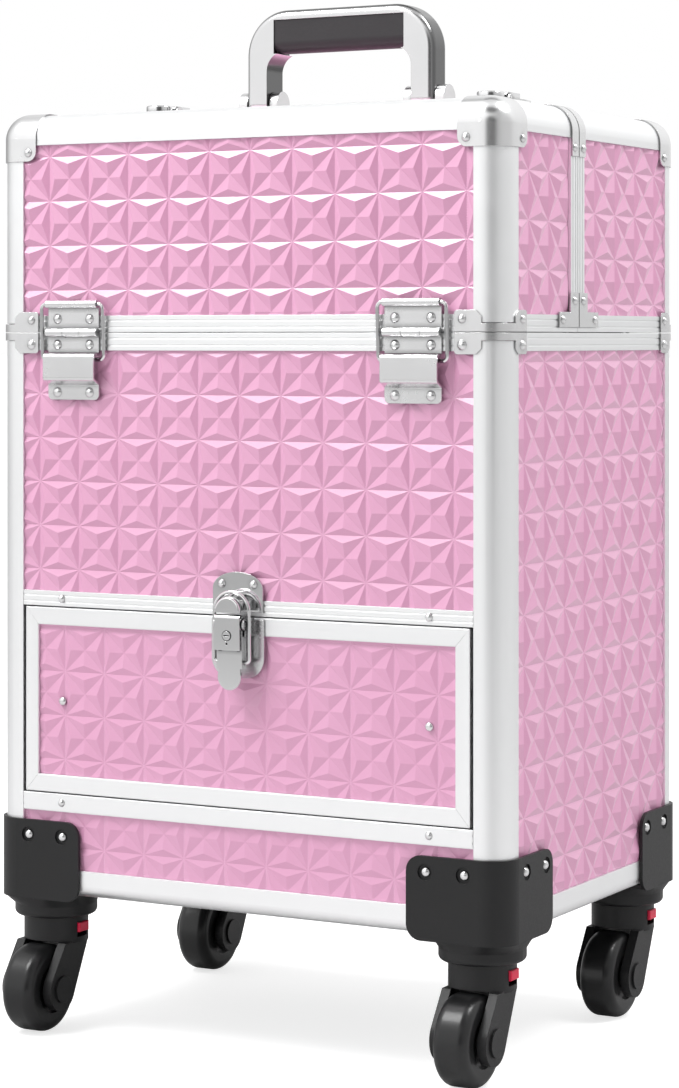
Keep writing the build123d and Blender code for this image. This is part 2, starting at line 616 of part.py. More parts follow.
class DrawLatch:
    """A draw latch. Its plane has x across, y from the lever towards the keeper, and z out of the face."""

    def __init__(self, plane, proud, pivot_depth, lever_top, nose_low):
        self.plane = plane
        self.proud = proud
        self.pivot_out = proud - pivot_depth
        self.lever_top = lever_top
        self.nose_low = nose_low

    def at(self, across, along, out):
        return self.plane.from_local_coords((across, along, out))

    def side(self, across):
        """A plane seen along the latch's width: x along, y out."""
        return Plane(origin=self.at(across, 0, 0), x_dir=self.plane.y_dir, z_dir=self.plane.x_dir)

    def keeper(self):
        """The plate with the domed nose that the bail lies round."""
        with BuildPart() as keeper:
            with BuildSketch(self.plane.offset(LATCH_SHEET[0])):
                patch((-16.7, 16.7), (self.lever_top + 0.8, 20))
                with Locations((0, 20)):
                    Ellipse(16.7, 9.5)
            extrude(amount=LATCH_SHEET[1] - LATCH_SHEET[0])
            with BuildSketch(self.plane.offset(LATCH_SHEET[1] - 0.1)):
                patch((-5.5, 5.5), (self.nose_low + 0.9, 13.0))
            extrude(amount=self.proud - 3 - LATCH_SHEET[1])
            with BuildSketch(self.plane.offset(self.proud - NOSE_THICK)):
                with Locations((0, 7.6)):
                    Circle(8.4)
                patch((-9, 9), (-2, self.nose_low), mode=Mode.SUBTRACT)
            extrude(amount=NOSE_THICK)
            front = keeper.faces().sort_by(Axis(self.at(0, 0, 0), self.plane.z_dir))[-1]
            fillet(front.edges().filter_by(GeomType.CIRCLE), 1.2)
        return keeper.part

    def base(self):
        """The riveted plate with two cheeks that carry the lever's pin."""
        with BuildPart() as base:
            with BuildSketch(self.plane.offset(LATCH_SHEET[0])) as outline:
                patch((-17.5, 17.5), (-31.8, 2.3))
                low = outline.vertices().sort_by(Axis.Y)[:2]
                fillet(low, 12)
            extrude(amount=LATCH_SHEET[1] - LATCH_SHEET[0])
            for across in (-10.1, 8.9):
                with BuildSketch(self.side(across)):
                    patch((-7, 3.5), (LATCH_SHEET[0], self.pivot_out))
                    with Locations((0, self.pivot_out)):
                        Circle(3.4)
                extrude(amount=1.2)
            rod(self.at(-10.3, 0, self.pivot_out), self.plane.x_dir, LEVER_PIN_R, 20.6)
        return base.part

    def lever(self, with_lock):
        """The lever: a folded cover over the pin with a finger tongue below."""
        with BuildPart() as lever:
            step = -14.8
            skin = 1.5
            fold = 2.0
            tongue_out = self.proud - 3.0
            with BuildSketch(self.side(-LATCH_HALF)) as cover:
                patch((step, self.lever_top), (self.proud - 3.4, self.proud))
                folded = cover.vertices().sort_by(Axis((0, 0, 0), (1, 1, 0)))[-1]
                fillet(folded, fold)
                patch((step - 1, self.lever_top - 1.6), (self.proud - 4, self.proud - skin), Mode.SUBTRACT)
            extrude(amount=2 * LATCH_HALF)
            with BuildSketch(self.plane.offset(tongue_out - skin)):
                patch((-7.2, 7.2), (-30.3, step - 0.7))
                with Locations((0, -30.3)):
                    Circle(7.7)
                patch((-5.2, 5.2), (step - 2, step + 2))
            extrude(amount=skin)
            for across in (-LATCH_HALF, LATCH_HALF - 1.2):
                with BuildSketch(self.side(across)):
                    patch((step, self.lever_top - 1.2), (self.pivot_out - 3.2, self.proud - 1.3))
                    patch((-25.5, step + 1), (self.pivot_out - 3.2, tongue_out))
                extrude(amount=1.2)
            rod(self.at(-LATCH_HALF, 0, self.pivot_out), self.plane.x_dir, 2.6, 2 * LATCH_HALF)
            if with_lock:
                lock_y = -6.4
                plug_low = self.at(0, lock_y, self.pivot_out)
                rod(plug_low, self.plane.z_dir, LOCK_R + 0.6, self.proud - self.pivot_out)
                rod(
                    self.at(0, lock_y, self.proud - 1.1),
                    self.plane.z_dir,
                    LOCK_R + 0.5,
                    2,
                    mode=Mode.SUBTRACT,
                )
                rod(plug_low, self.plane.z_dir, LOCK_R, self.proud + 0.4 - self.pivot_out)
                with BuildSketch(self.plane.offset(self.proud + 0.5)):
                    with Locations((0, lock_y)):
                        Rectangle(3.6, 0.9)
                    with Locations((0, lock_y - 4.6)):
                        Circle(0.7)
                extrude(amount=-1.6, mode=Mode.SUBTRACT)
            rod(
                self.at(-20, 0, self.pivot_out),
                self.plane.x_dir,
                LEVER_PIN_R + 0.06,
                40,
                mode=Mode.SUBTRACT,
            )
            rod(
                self.at(-20, -BAIL_PIVOT_DOWN, self.pivot_out - BAIL_PIVOT_IN),
                self.plane.x_dir,
                BAIL_WIRE_R + 0.06,
                40,
                mode=Mode.SUBTRACT,
            )
        return lever.part

    def bail(self):
        """The wire bail: bent ends in the lever's sides and a round top that lies over the keeper's nose."""
        start = self.at(0, -BAIL_PIVOT_DOWN, self.pivot_out - BAIL_PIVOT_IN)
        top = self.at(0, BAIL_TOP, self.proud - NOSE_THICK - BAIL_WIRE_R - 0.3)
        along = top - start
        length = along.length
        plane = Plane(origin=start, x_dir=self.plane.x_dir, z_dir=self.plane.x_dir.cross(along))
        with BuildPart() as bail:
            with BuildLine(plane) as path:
                FilletPolyline((-6.8, 0), (-BAIL_HALF, 0), (-BAIL_HALF, length - BAIL_HALF), radius=2)
                ThreePointArc(
                    (-BAIL_HALF, length - BAIL_HALF), (0, length), (BAIL_HALF, length - BAIL_HALF)
                )
                FilletPolyline((BAIL_HALF, length - BAIL_HALF), (BAIL_HALF, 0), (6.8, 0), radius=2)
            with BuildSketch(Plane(origin=path.wires()[0] @ 0, z_dir=path.wires()[0] % 0)):
                Circle(BAIL_WIRE_R)
            sweep(path=path.wires()[0])
        return bail.part


drawer_latch = DrawLatch(
    Plane(origin=(0, -Y_FACE, DRAWER_LATCH_PIVOT_Z), x_dir=(1, 0, 0), z_dir=(0, -1, 0)),
    proud=14.0,
    pivot_depth=5.0,
    lever_top=5.7,
    nose_low=6.9,
)
finish(drawer_latch.keeper(), "drawer_latch_keeper")
finish(drawer_latch.base(), "drawer_latch_base")
finish(drawer_latch.lever(True), "drawer_latch_lever")
finish(drawer_latch.bail(), "drawer_latch_bail")

top_latches = {}
for side, sign in (("left", -1), ("right", 1)):
    top_latches[side] = DrawLatch(
        Plane(origin=(sign * LATCH_X, TOP_LATCH_PIVOT_Y, CASE_TOP), x_dir=(-1, 0, 0), z_dir=(0, 0, 1)),
        proud=10.5,
        pivot_depth=4.2,
        lever_top=3.6,
        nose_low=5.6,
    )
    finish(top_latches[side].lever(False), f"{side}_top_latch_lever")
    finish(top_latches[side].bail(), f"{side}_top_latch_bail")

with BuildPart() as top_latch_keepers:
    for latch in top_latches.values():
        add(latch.keeper())
finish(top_latch_keepers.part, "top_latch_keepers")

with BuildPart() as top_latch_bases:
    for latch in top_latches.values():
        add(latch.base())
finish(top_latch_bases.part, "top_latch_bases")

# =====================================================================================
# Carry handle on the rear lid half
# =====================================================================================

handle_middle = sum(HANDLE_Y) / 2
handle_half_depth = (HANDLE_Y[1] - HANDLE_Y[0]) / 2
grip_low = HANDLE_TOP - 26.0
grip_high = HANDLE_TOP - 6.0
grip_half = 45.5
HANDLE_FILLET = 4.5
HANDLE_PIN_R = 3.0

with BuildPart() as carry_handle:
    with BuildSketch(Plane.XZ.offset(-HANDLE_Y[1])):
        foot = HANDLE_PIVOT_Z - handle_half_depth
        with BuildLine():
            Polyline(
                (-HANDLE_HALF, foot),
                (-HANDLE_HALF, HANDLE_TOP - 28),
                (-HANDLE_HALF + 28, HANDLE_TOP),
                (HANDLE_HALF - 28, HANDLE_TOP),
                (HANDLE_HALF, HANDLE_TOP - 28),
                (HANDLE_HALF, foot),
                close=True,
            )
        make_face()
        for side in (-1, 1):
            with Locations((side * (HANDLE_HALF - 28), HANDLE_TOP - 28)):
                Circle(28)
        inner = HANDLE_HALF - HANDLE_ARM
        patch((-inner, inner), (foot - 1, grip_low - 12), mode=Mode.SUBTRACT)
        patch((-inner + 12, inner - 12), (foot - 1, grip_low), mode=Mode.SUBTRACT)
        for side in (-1, 1):
            with Locations((side * (inner - 12), grip_low - 12)):
                Circle(12, mode=Mode.SUBTRACT)
        patch((-grip_half, grip_half), (grip_low - 1, grip_high), mode=Mode.SUBTRACT)
    extrude(amount=2 * handle_half_depth)
    ends = carry_handle.edges().filter_by(Axis.X).group_by(Axis.Z)[0]
    fillet(ends, handle_half_depth - 0.1)
    top_edges = carry_handle.edges().filter_by(Axis.X).group_by(Axis.Z)[-1]
    fillet(top_edges, HANDLE_FILLET)
    rod((-90, handle_middle, HANDLE_PIVOT_Z), (1, 0, 0), HANDLE_PIN_R + 0.06, 180, mode=Mode.SUBTRACT)
finish(carry_handle.part, "carry_handle")

with BuildPart() as handle_grip:
    block(
        (-grip_half + 0.1, grip_half - 0.1),
        (HANDLE_Y[0] + 0.6, HANDLE_Y[1] - 0.6),
        (grip_low - 0.5, grip_high - 0.1),
    )
    fillet(handle_grip.edges().filter_by(Axis.X).group_by(Axis.Z)[0], 7)
finish(handle_grip.part, "carry_handle_grip")

with BuildPart() as handle_lugs:
    for inside, outside in ((HANDLE_HALF + 0.3, HANDLE_HALF + 6.3), (inner - 6.3, inner - 0.3)):
        block((inside, outside), (handle_middle - 8, handle_middle + 8), (CASE_TOP + 0.05, HANDLE_PIVOT_Z))
        rod((inside, handle_middle, HANDLE_PIVOT_Z), (1, 0, 0), 8, outside - inside)
    rod((inner - 6.3, handle_middle, HANDLE_PIVOT_Z), (1, 0, 0), HANDLE_PIN_R, HANDLE_ARM + 12.6)
    mirror(about=Plane.YZ)
finish(handle_lugs.part, "carry_handle_lugs")

# =====================================================================================
# Drawer
# =====================================================================================

frame_x = 9.0
frame_z = 10.4
drawer_front_y = -Y_FACE


def mitred_bar(depth_x, depth_z, thickness, upright):
    """One mitred bar of the drawer's frame: the top bar, or the right-hand bar if upright."""
    gap = 0.1
    outer_x = DRAWER_HALF_WIDTH
    middle_z = (DRAWER_LOW + DRAWER_HIGH) / 2
    if upright:
        corners = [
            (outer_x, DRAWER_HIGH - gap),
            (outer_x, DRAWER_LOW + gap),
            (outer_x - depth_x, DRAWER_LOW + depth_z + gap),
            (outer_x - depth_x, DRAWER_HIGH - depth_z - gap),
        ]
    else:
        corners = [
            (-outer_x + gap, DRAWER_HIGH),
            (outer_x - gap, DRAWER_HIGH),
            (outer_x - depth_x - gap, DRAWER_HIGH - depth_z),
            (-outer_x + depth_x + gap, DRAWER_HIGH - depth_z),
        ]
    with BuildPart() as bar:
        with BuildSketch(Plane.XZ.offset(-drawer_front_y)):
            with BuildLine():
                Polyline(*corners, close=True)
            make_face()
        extrude(amount=-thickness)
        if upright:
            mirror(about=Plane.YZ)
        else:
            mirror(about=Plane.XY.offset(middle_z))
    return bar.part


with BuildPart() as drawer_frame:
    for upright in (False, True):
        add(mitred_bar(frame_x, frame_z, WALL, upright))
        add(mitred_bar(1.56, 1.8, 8.0, upright))
    for share in (0.3, 0.7):
        level = share * frame_z
        for z in (DRAWER_LOW + level, DRAWER_HIGH - level):
            groove_y = (drawer_front_y - 1, drawer_front_y + 0.4)
            block((-138, 138), groove_y, (z - 0.45, z + 0.45), mode=Mode.SUBTRACT)
finish(drawer_frame.part, "drawer_frame")

with BuildPart() as drawer_front:
    block(
        (-DRAWER_HALF_WIDTH + 1.8, DRAWER_HALF_WIDTH - 1.8),
        front_skin,
        (DRAWER_LOW + 2, DRAWER_HIGH - 2),
    )
finish(drawer_front.part, "drawer_front")

box_wall = 4.0
box_y = (front_skin[1] + FIT, DRAWER_BOX_BACK)
box_z = (66.0, 150.0)
with BuildPart() as drawer_box:
    block((-DRAWER_BOX_HALF, DRAWER_BOX_HALF), box_y, box_z)
    block(
        (-DRAWER_BOX_HALF + box_wall, DRAWER_BOX_HALF - box_wall),
        (box_y[0] + box_wall, box_y[1] - box_wall),
        (box_z[0] + box_wall, box_z[1] + 1),
        mode=Mode.SUBTRACT,
    )
finish(drawer_box.part, "drawer_box")

case_runner_y = (-104.0, 106.0)
with BuildPart() as case_runners:
    with BuildSketch(Plane.XZ.offset(-case_runner_y[1])):
        outside = X_FACE - PANEL_IN - FIT
        patch((outside - 1.5, outside), (RUNNER_Z - 24, RUNNER_Z + 24))
        for low in (RUNNER_Z - 15, RUNNER_Z + 13.5):
            patch((140.3, outside), (low, low + 1.5))
        patch((149.3, 150.8), (RUNNER_Z - 15, RUNNER_Z + 15))
    extrude(amount=case_runner_y[1] - case_runner_y[0])
    mirror(about=Plane.YZ)
finish(case_runners.part, "case_runners")

with BuildPart() as drawer_runners:
    with BuildSketch(Plane.XZ.offset(-case_runner_y[1] + 6)):
        patch((DRAWER_BOX_HALF + FIT, DRAWER_BOX_HALF + 2), (RUNNER_Z - 9, RUNNER_Z + 9))
        patch((DRAWER_BOX_HALF + FIT, 147.8), (RUNNER_Z - 3, RUNNER_Z + 3))
        patch((146.3, 147.8), (RUNNER_Z - 9, RUNNER_Z + 9))
    extrude(amount=case_runner_y[1] - case_runner_y[0] - 6)
    mirror(about=Plane.YZ)
finish(drawer_runners.part, "drawer_runners")

# =====================================================================================
# Lift-out tray of the upper compartment
# =====================================================================================

TRAY_X = 157.0
TRAY_Y = 112.0
TRAY_Z = (262.0, 322.0)
TRAY_WALL = 2.5
TRAY_DIVIDER_X = 52.0
with BuildPart() as lift_out_tray:
    block((-TRAY_X, TRAY_X), (-TRAY_Y, TRAY_Y), TRAY_Z)
    block(
        (-TRAY_X + TRAY_WALL, TRAY_X - TRAY_WALL),
        (-TRAY_Y + TRAY_WALL, TRAY_Y - TRAY_WALL),
        (TRAY_Z[0] + TRAY_WALL, TRAY_Z[1] + 1),
        mode=Mode.SUBTRACT,
    )
    divider_top = TRAY_Z[1] - 8
    block((-TRAY_X + 1, TRAY_X - 1), (-1, 1), (TRAY_Z[0] + 1, divider_top))
    for x in (-TRAY_DIVIDER_X, TRAY_DIVIDER_X):
        block((x - 1, x + 1), (-TRAY_Y + 1, TRAY_Y - 1), (TRAY_Z[0] + 1, divider_top))
    leg = 9.0
    for x in (-TRAY_X, TRAY_X - leg):
        for y in (-TRAY_Y, TRAY_Y - leg):
            block((x, x + leg), (y, y + leg), (UPPER_DIVIDER[0] + 7.1, TRAY_Z[0]))
finish(lift_out_tray.part, "lift_out_tray")

# =====================================================================================
# Telescopic trolley handle on the rear
# =====================================================================================

TUBE_STAGES = (
    ("trolley_outer_tubes", 18.0, 12.0, 1.2, 22.0, 300.0),
    ("trolley_middle_tubes", 15.2, 9.2, 1.1, 26.0, 303.0),
    ("trolley_inner_tubes", 12.6, 6.6, 1.0, 30.0, 305.0),
)
for label, width, depth, wall, low, high in TUBE_STAGES:
    with BuildPart() as tubes:
        with BuildSketch(Plane.XY.offset(low)):
            with Locations((TUBE_X, TUBE_Y)):
                RectangleRounded(width, depth, 2.5)
                RectangleRounded(width - 2 * wall, depth - 2 * wall, 1.6, mode=Mode.SUBTRACT)
        extrude(amount=high - low)
        mirror(about=Plane.YZ)
    finish(tubes.part, label)

with BuildPart() as trolley_brackets:
    for low, high in ((18.0, 42.0), (284.0, 299.8)):
        block((TUBE_X - 13, TUBE_X + 13), (Y_FACE - PANEL_OUT + 0.1, TUBE_Y + 8), (low, high))
    fillet(trolley_brackets.edges().filter_by(Axis.Z).group_by(Axis.Y)[-1], 4)
    with BuildSketch(Plane.XY.offset(10)):
        with Locations((TUBE_X, TUBE_Y)):
            RectangleRounded(18.2, 12.2, 2.6)
    extrude(amount=300, mode=Mode.SUBTRACT)
    mirror(about=Plane.YZ)
finish(trolley_brackets.part, "trolley_brackets")

button_half = 12.0
with BuildPart() as trolley_grip:
    block((-TUBE_X - 12, TUBE_X + 12), (TUBE_Y - 6.4, TUBE_Y + 8.4), (305.1, TROLLEY_TOP))
    fillet(trolley_grip.edges().filter_by(Axis.X), 4)
    pocket_x = (-button_half - 0.2, button_half + 0.2)
    block(pocket_x, (TUBE_Y - 2.7, TUBE_Y + 4.7), (318, 335), mode=Mode.SUBTRACT)
finish(trolley_grip.part, "trolley_grip")

with BuildPart() as trolley_button:
    block((-button_half, button_half), (TUBE_Y - 2.5, TUBE_Y + 4.5), (321.5, TROLLEY_TOP + 2.0))
    fillet(trolley_button.faces().sort_by(Axis.Z)[-1].edges(), 1)
finish(trolley_button.part, "trolley_button")

# =====================================================================================
# Corner sockets and casters
# =====================================================================================

SOCKET_OUT = 2.2
SOCKET_REACH = 60.0
SOCKET_TOP = 44.7
SOCKET_FOOT = -3.0
RING_TOP = -8.5
SCREW_Z = 35.6
SCREW_HEAD_R = 3.0
RECESS_R = 4.6
RECESS_DEPTH = 1.2
STEM_R = 8.0
socket_x = X_FACE - SOCKET_REACH
socket_y = Y_FACE - SOCKET_REACH
screw_x = (122.0, 146.0)
screw_y = (74.0, 100.1)

with BuildPart() as corner_sockets:
    add(corner_band(SOCKET_OUT, 0.1, socket_x, socket_y, SOCKET_FOOT, SOCKET_TOP))
    free_ends = [
        e
        for e in corner_sockets.edges().filter_by(GeomType.LINE)
        if e.length < 2.4 and min(e.center().X - socket_x, e.center().Y - socket_y) < 0.1
    ]
    fillet(free_ends, 9)
    add(rounded_column(SOCKET_OUT, X_FACE - 50, Y_FACE - 50, SOCKET_FOOT, -0.3))
    with BuildSketch(Plane.XY.offset(SOCKET_FOOT)):
        with Locations((X_FACE - 50 / 2 + 1, Y_FACE - 50 / 2 + 1)):
            RectangleRounded(50, 50, 15)
    with BuildSketch(Plane.XY.offset(RING_TOP)):
        with Locations((SWIVEL_X, SWIVEL_Y)):
            Circle(RING_R)
    loft()
    rod((SWIVEL_X, SWIVEL_Y, RING_LOW), (0, 0, 1), RING_R, RING_TOP - RING_LOW)
    fillet(corner_sockets.edges().filter_by(GeomType.CIRCLE).sort_by(Axis.Z)[0], 3)
    rod((SWIVEL_X, SWIVEL_Y, RING_LOW - 1), (0, 0, 1), STEM_R + 0.08, 17, mode=Mode.SUBTRACT)
    for x in screw_x:
        rod((x, Y_FACE + SOCKET_OUT - RECESS_DEPTH, SCREW_Z), (0, 1, 0), RECESS_R, 5, mode=Mode.SUBTRACT)
    for y in screw_y:
        rod((X_FACE + SOCKET_OUT - RECESS_DEPTH, y, SCREW_Z), (1, 0, 0), RECESS_R, 5, mode=Mode.SUBTRACT)
    mirror(about=Plane.YZ)
    mirror(about=Plane.XZ)
finish(corner_sockets.part, "corner_sockets")

with BuildPart() as socket_screws:
    seat = SOCKET_OUT - RECESS_DEPTH + 0.02
    rivets([(x, Y_FACE + seat, SCREW_Z) for x in screw_x], (0, 1, 0), SCREW_HEAD_R)
    rivets([(X_FACE + seat, y, SCREW_Z) for y in screw_y], (1, 0, 0), SCREW_HEAD_R)
    mirror(about=Plane.YZ)
    mirror(about=Plane.XZ)
finish(socket_screws.part, "socket_screws")

FORK_HALF = 17.6
AXLE_R = 3.0
wheel_z = GROUND_Z + WHEEL_R
neck_low = -31.8
TAB_Z = (-25.4, -19.6)
TAB_HALF = 5.0


def caster(label, centre_x, centre_y):
    """A swivel caster: fork with its axle, wheel and release tab."""
    wheel_y = centre_y - TRAIL
    with BuildPart() as fork:
        rod((centre_x, centre_y, neck_low), (0, 0, 1), NECK_R, RING_LOW - 0.2 - neck_low)
        rod((centre_x, centre_y, RING_LOW - 1), (0, 0, 1), STEM_R, 15)
        with BuildSketch(Plane.YZ.offset(centre_x - FORK_HALF)):
            with Locations((wheel_y, wheel_z)):
                Circle(13)
            patch((centre_y - 16, centre_y + 8), (neck_low, neck_low + 1))
            make_hull()
        extrude(amount=2 * FORK_HALF)
        clear = WHEEL_WIDTH / 2 + 0.9
        rod((centre_x - clear, wheel_y, wheel_z), (1, 0, 0), WHEEL_R + 1.6, 2 * clear, mode=Mode.SUBTRACT)
        rod((centre_x - 30, wheel_y, wheel_z), (1, 0, 0), AXLE_R + 0.05, 60, mode=Mode.SUBTRACT)
        block(
            (centre_x + 10.4, centre_x + 25),
            (centre_y - TAB_HALF - 0.2, centre_y + TAB_HALF + 0.2),
            (TAB_Z[0] - 3.0, TAB_Z[1] + 0.2),
            mode=Mode.SUBTRACT,
        )
    with BuildPart() as axle:
        rod((centre_x - FORK_HALF - 0.1, wheel_y, wheel_z), (1, 0, 0), AXLE_R, 2 * FORK_HALF + 0.2)
        for start in (-FORK_HALF - 1.3, FORK_HALF + 0.1):
            rod((centre_x + start, wheel_y, wheel_z), (1, 0, 0), 8, 1.2)
    finish(Compound(children=[*fork.part.solids(), *axle.part.solids()]), f"{label}_caster_fork")

    with BuildPart() as wheel:
        half = WHEEL_WIDTH / 2
        rod((centre_x - half, wheel_y, wheel_z), (1, 0, 0), WHEEL_R, WHEEL_WIDTH)
        rim = wheel.edges().filter_by(GeomType.CIRCLE)
        fillet(rim, 6)
        for start in (-half - 1, half - 2.5):
            rod((centre_x + start, wheel_y, wheel_z), (1, 0, 0), 15, 3.5, mode=Mode.SUBTRACT)
        rod((centre_x - half, wheel_y, wheel_z), (1, 0, 0), 7, WHEEL_WIDTH)
        bore_start = (centre_x - half - 1, wheel_y, wheel_z)
        rod(bore_start, (1, 0, 0), AXLE_R + 0.06, WHEEL_WIDTH + 2, mode=Mode.SUBTRACT)
    finish(wheel.part, f"{label}_wheel")

    with BuildPart() as tab:
        block(
            (centre_x + 13.2, centre_x + 20.6),
            (centre_y - TAB_HALF, centre_y + TAB_HALF),
            TAB_Z,
        )
        fillet(tab.faces().sort_by(Axis.X)[-1].edges(), 0.8)
    finish(tab.part, f"{label}_release_tab")


for depth_label, y_side in (("front", -1), ("rear", 1)):
    for width_label, x_side in (("left", -1), ("right", 1)):
        caster(f"{depth_label}_{width_label}", x_side * SWIVEL_X, y_side * SWIVEL_Y)
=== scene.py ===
import math
from typing import NamedTuple

import bmesh
import bpy
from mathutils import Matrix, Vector


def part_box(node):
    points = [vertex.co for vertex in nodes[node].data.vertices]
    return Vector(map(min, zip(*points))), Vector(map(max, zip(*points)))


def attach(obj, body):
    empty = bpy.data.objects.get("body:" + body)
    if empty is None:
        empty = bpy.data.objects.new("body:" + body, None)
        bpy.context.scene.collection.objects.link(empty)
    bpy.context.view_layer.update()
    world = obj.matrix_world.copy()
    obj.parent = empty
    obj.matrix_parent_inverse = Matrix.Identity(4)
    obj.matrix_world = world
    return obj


# Looks of the rolling make-up case. Built here: embossed vinyl skins, sewn linings, flat faces on the drawer's
# frame and the divider below it, and the drawer front's rivet heads. Every CAD part keeps its shape and gets its
# material. Metres, in the frame's axes: x to the right seen from the front, y to the rear, z up.

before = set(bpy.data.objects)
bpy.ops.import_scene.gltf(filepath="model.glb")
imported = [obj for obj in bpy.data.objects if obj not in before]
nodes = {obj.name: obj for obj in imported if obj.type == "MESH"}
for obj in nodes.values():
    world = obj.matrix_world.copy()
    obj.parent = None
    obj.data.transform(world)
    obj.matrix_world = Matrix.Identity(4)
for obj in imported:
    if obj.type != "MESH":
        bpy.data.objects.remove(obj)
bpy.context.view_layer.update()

MM = 0.001
RIGHT = Vector((1, 0, 0))
BACK = Vector((0, 1, 0))
UP = Vector((0, 0, 1))


# ------------------------------------------------------------------ places taken from the frame
LONG_BAR = 200 * MM     # a longer bar runs across the whole case
TALL_BAR = 60 * MM      # a taller bar of a lid's frame is a post or a stile
SAME_PLANE = 1 * MM


def solids_of(node):
    """The lowest and highest corner of each separate solid of a CAD node."""
    mesh = bmesh.new()
    mesh.from_mesh(nodes[node].data)
    bmesh.ops.remove_doubles(mesh, verts=mesh.verts, dist=1e-6)
    found = []
    seen = set()
    for first in mesh.verts:
        if first in seen:
            continue
        seen.add(first)
        island = [first]
        for vert in island:
            for edge in vert.link_edges:
                other = edge.other_vert(vert)
                if other not in seen:
                    seen.add(other)
                    island.append(other)
        low = Vector([min(v.co[i] for v in island) for i in range(3)])
        high = Vector([max(v.co[i] for v in island) for i in range(3)])
        found.append((low, high))
    mesh.free()
    return found


def bars_across(boxes):
    """The boxes that run across the case, lowest first."""
    return sorted((b for b in boxes if b[1].x - b[0].x > LONG_BAR), key=lambda box: box[0].z)


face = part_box("body_rails")[1]
posts = solids_of("corner_posts")
post_width = min(high.x - low.x for low, high in posts)
post_depth = min(high.y - low.y for low, high in posts)
open_x = face.x - post_width
open_y = face.y - post_depth

rails = solids_of("body_rails")
bottom_rail, lower_divider, upper_divider, seam_rail = bars_across(b for b in rails if b[0].y < SAME_PLANE - face.y)
rear_bottom_rail = bars_across(b for b in rails if b[1].y > face.y - SAME_PLANE)[0]
seam = seam_rail[0].z

drawer_low, drawer_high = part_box("drawer_frame")
drawer_bars = solids_of("drawer_frame")
drawer_side = min(high.x - low.x for low, high in drawer_bars)
drawer_rail = min(high.z - low.z for low, high in drawer_bars)

front_lid_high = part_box("front_lid_frame")[1]
rear_lid_low, rear_lid_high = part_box("rear_lid_frame")
lid_bottom_rail = bars_across(solids_of("rear_lid_frame"))[0]
lid_room = (lid_bottom_rail[1].z, rear_lid_high.z - post_width)
stile = min(b[1].y - b[0].y for b in solids_of("front_lid_frame") if b[1].z - b[0].z > TALL_BAR)
lid_depth = {"front_lid": (-open_y, front_lid_high.y - stile), "rear_lid": (rear_lid_low.y + stile, open_y)}

front_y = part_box("front_panels")[0].y
rear_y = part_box("rear_panel")[1].y
side_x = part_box("side_panels")[1].x
lid_top_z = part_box("rear_lid_panels")[1].z

LIDS = {"front_lid": "front", "rear_lid": "rear"}
SIDES = {"right": 1, "left": -1}


# ------------------------------------------------------------------ node helpers
def new_material(name):
    """An empty node material, its tree and its Principled shader."""
    material = bpy.data.materials.new(name)
    material.use_nodes = True
    return material, material.node_tree, material.node_tree.nodes["Principled BSDF"]


def set_inputs(node, **values):
    """Sets a node's inputs by name, with _ for each space."""
    for name, value in values.items():
        node.inputs[name.replace("_", " ")].default_value = value


def coordinates(tree, stretch=(1, 1, 1)):
    """Object coordinates, stretched along the axes."""
    source = tree.nodes.new("ShaderNodeTexCoord")
    mapping = tree.nodes.new("ShaderNodeMapping")
    set_inputs(mapping, Scale=stretch)
    tree.links.new(source.outputs["Object"], mapping.inputs["Vector"])
    return mapping.outputs["Vector"]


def noise(tree, scale, detail, stretch=(1, 1, 1)):
    """Noise from 0 to 1, with scale features to the metre."""
    texture = tree.nodes.new("ShaderNodeTexNoise")
    set_inputs(texture, Scale=scale, Detail=detail)
    tree.links.new(coordinates(tree, stretch), texture.inputs["Vector"])
    return texture.outputs["Fac"]


def wave(tree, scale, axis):
    """Bands from 0 to 1 across one axis."""
    texture = tree.nodes.new("ShaderNodeTexWave")
    texture.bands_direction = axis
    set_inputs(texture, Scale=scale)
    tree.links.new(coordinates(tree), texture.inputs["Vector"])
    return texture.outputs["Fac"]


def math_node(tree, operation, *values):
    """One step of arithmetic on numbers or sockets."""
    node = tree.nodes.new("ShaderNodeMath")
    node.operation = operation
    for socket, value in zip(node.inputs, values):
        if isinstance(value, (int, float)):
            socket.default_value = value
        else:
            tree.links.new(value, socket)
    return node.outputs[0]


def scaled(tree, value, low, high):
    """Maps a 0 to 1 value to a range."""
    node = tree.nodes.new("ShaderNodeMapRange")
    set_inputs(node, To_Min=low, To_Max=high)
    tree.links.new(value, node.inputs["Value"])
    return node.outputs["Result"]


def soft_step(tree, value, start, full, amount=1.0):
    """0 up to start, then rising smoothly to amount at full."""
    node = tree.nodes.new("ShaderNodeMapRange")
    node.interpolation_type = "SMOOTHSTEP"
    set_inputs(node, From_Min=start, From_Max=full, To_Max=amount)
    tree.links.new(value, node.inputs["Value"])
    return node.outputs["Result"]


def colour_between(tree, value, first, second):
    """Mixes two colours, each a tuple or a socket, by a 0 to 1 value."""
    node = tree.nodes.new("ShaderNodeMix")
    node.data_type = "RGBA"
    for name, colour in (("A", first), ("B", second)):
        if isinstance(colour, tuple):
            node.inputs[name].default_value = (*colour, 1)
        else:
            tree.links.new(colour, node.inputs[name])
    tree.links.new(value, node.inputs["Factor"])
    return node.outputs["Result"]


def times(colour, factor, lift=0.0):
    return tuple(c * factor + lift for c in colour)


def bumped(tree, shader, height, distance, strength, edge=0.0):
    """Bumps a shader's normal. edge rounds the sharp edges by that radius."""
    bump = tree.nodes.new("ShaderNodeBump")
    set_inputs(bump, Distance=distance, Strength=strength)
    tree.links.new(height, bump.inputs["Height"])
    if edge:
        bevel = tree.nodes.new("ShaderNodeBevel")
        bevel.samples = 4
        set_inputs(bevel, Radius=edge)
        tree.links.new(bevel.outputs["Normal"], bump.inputs["Normal"])
    tree.links.new(bump.outputs["Normal"], shader.inputs["Normal"])


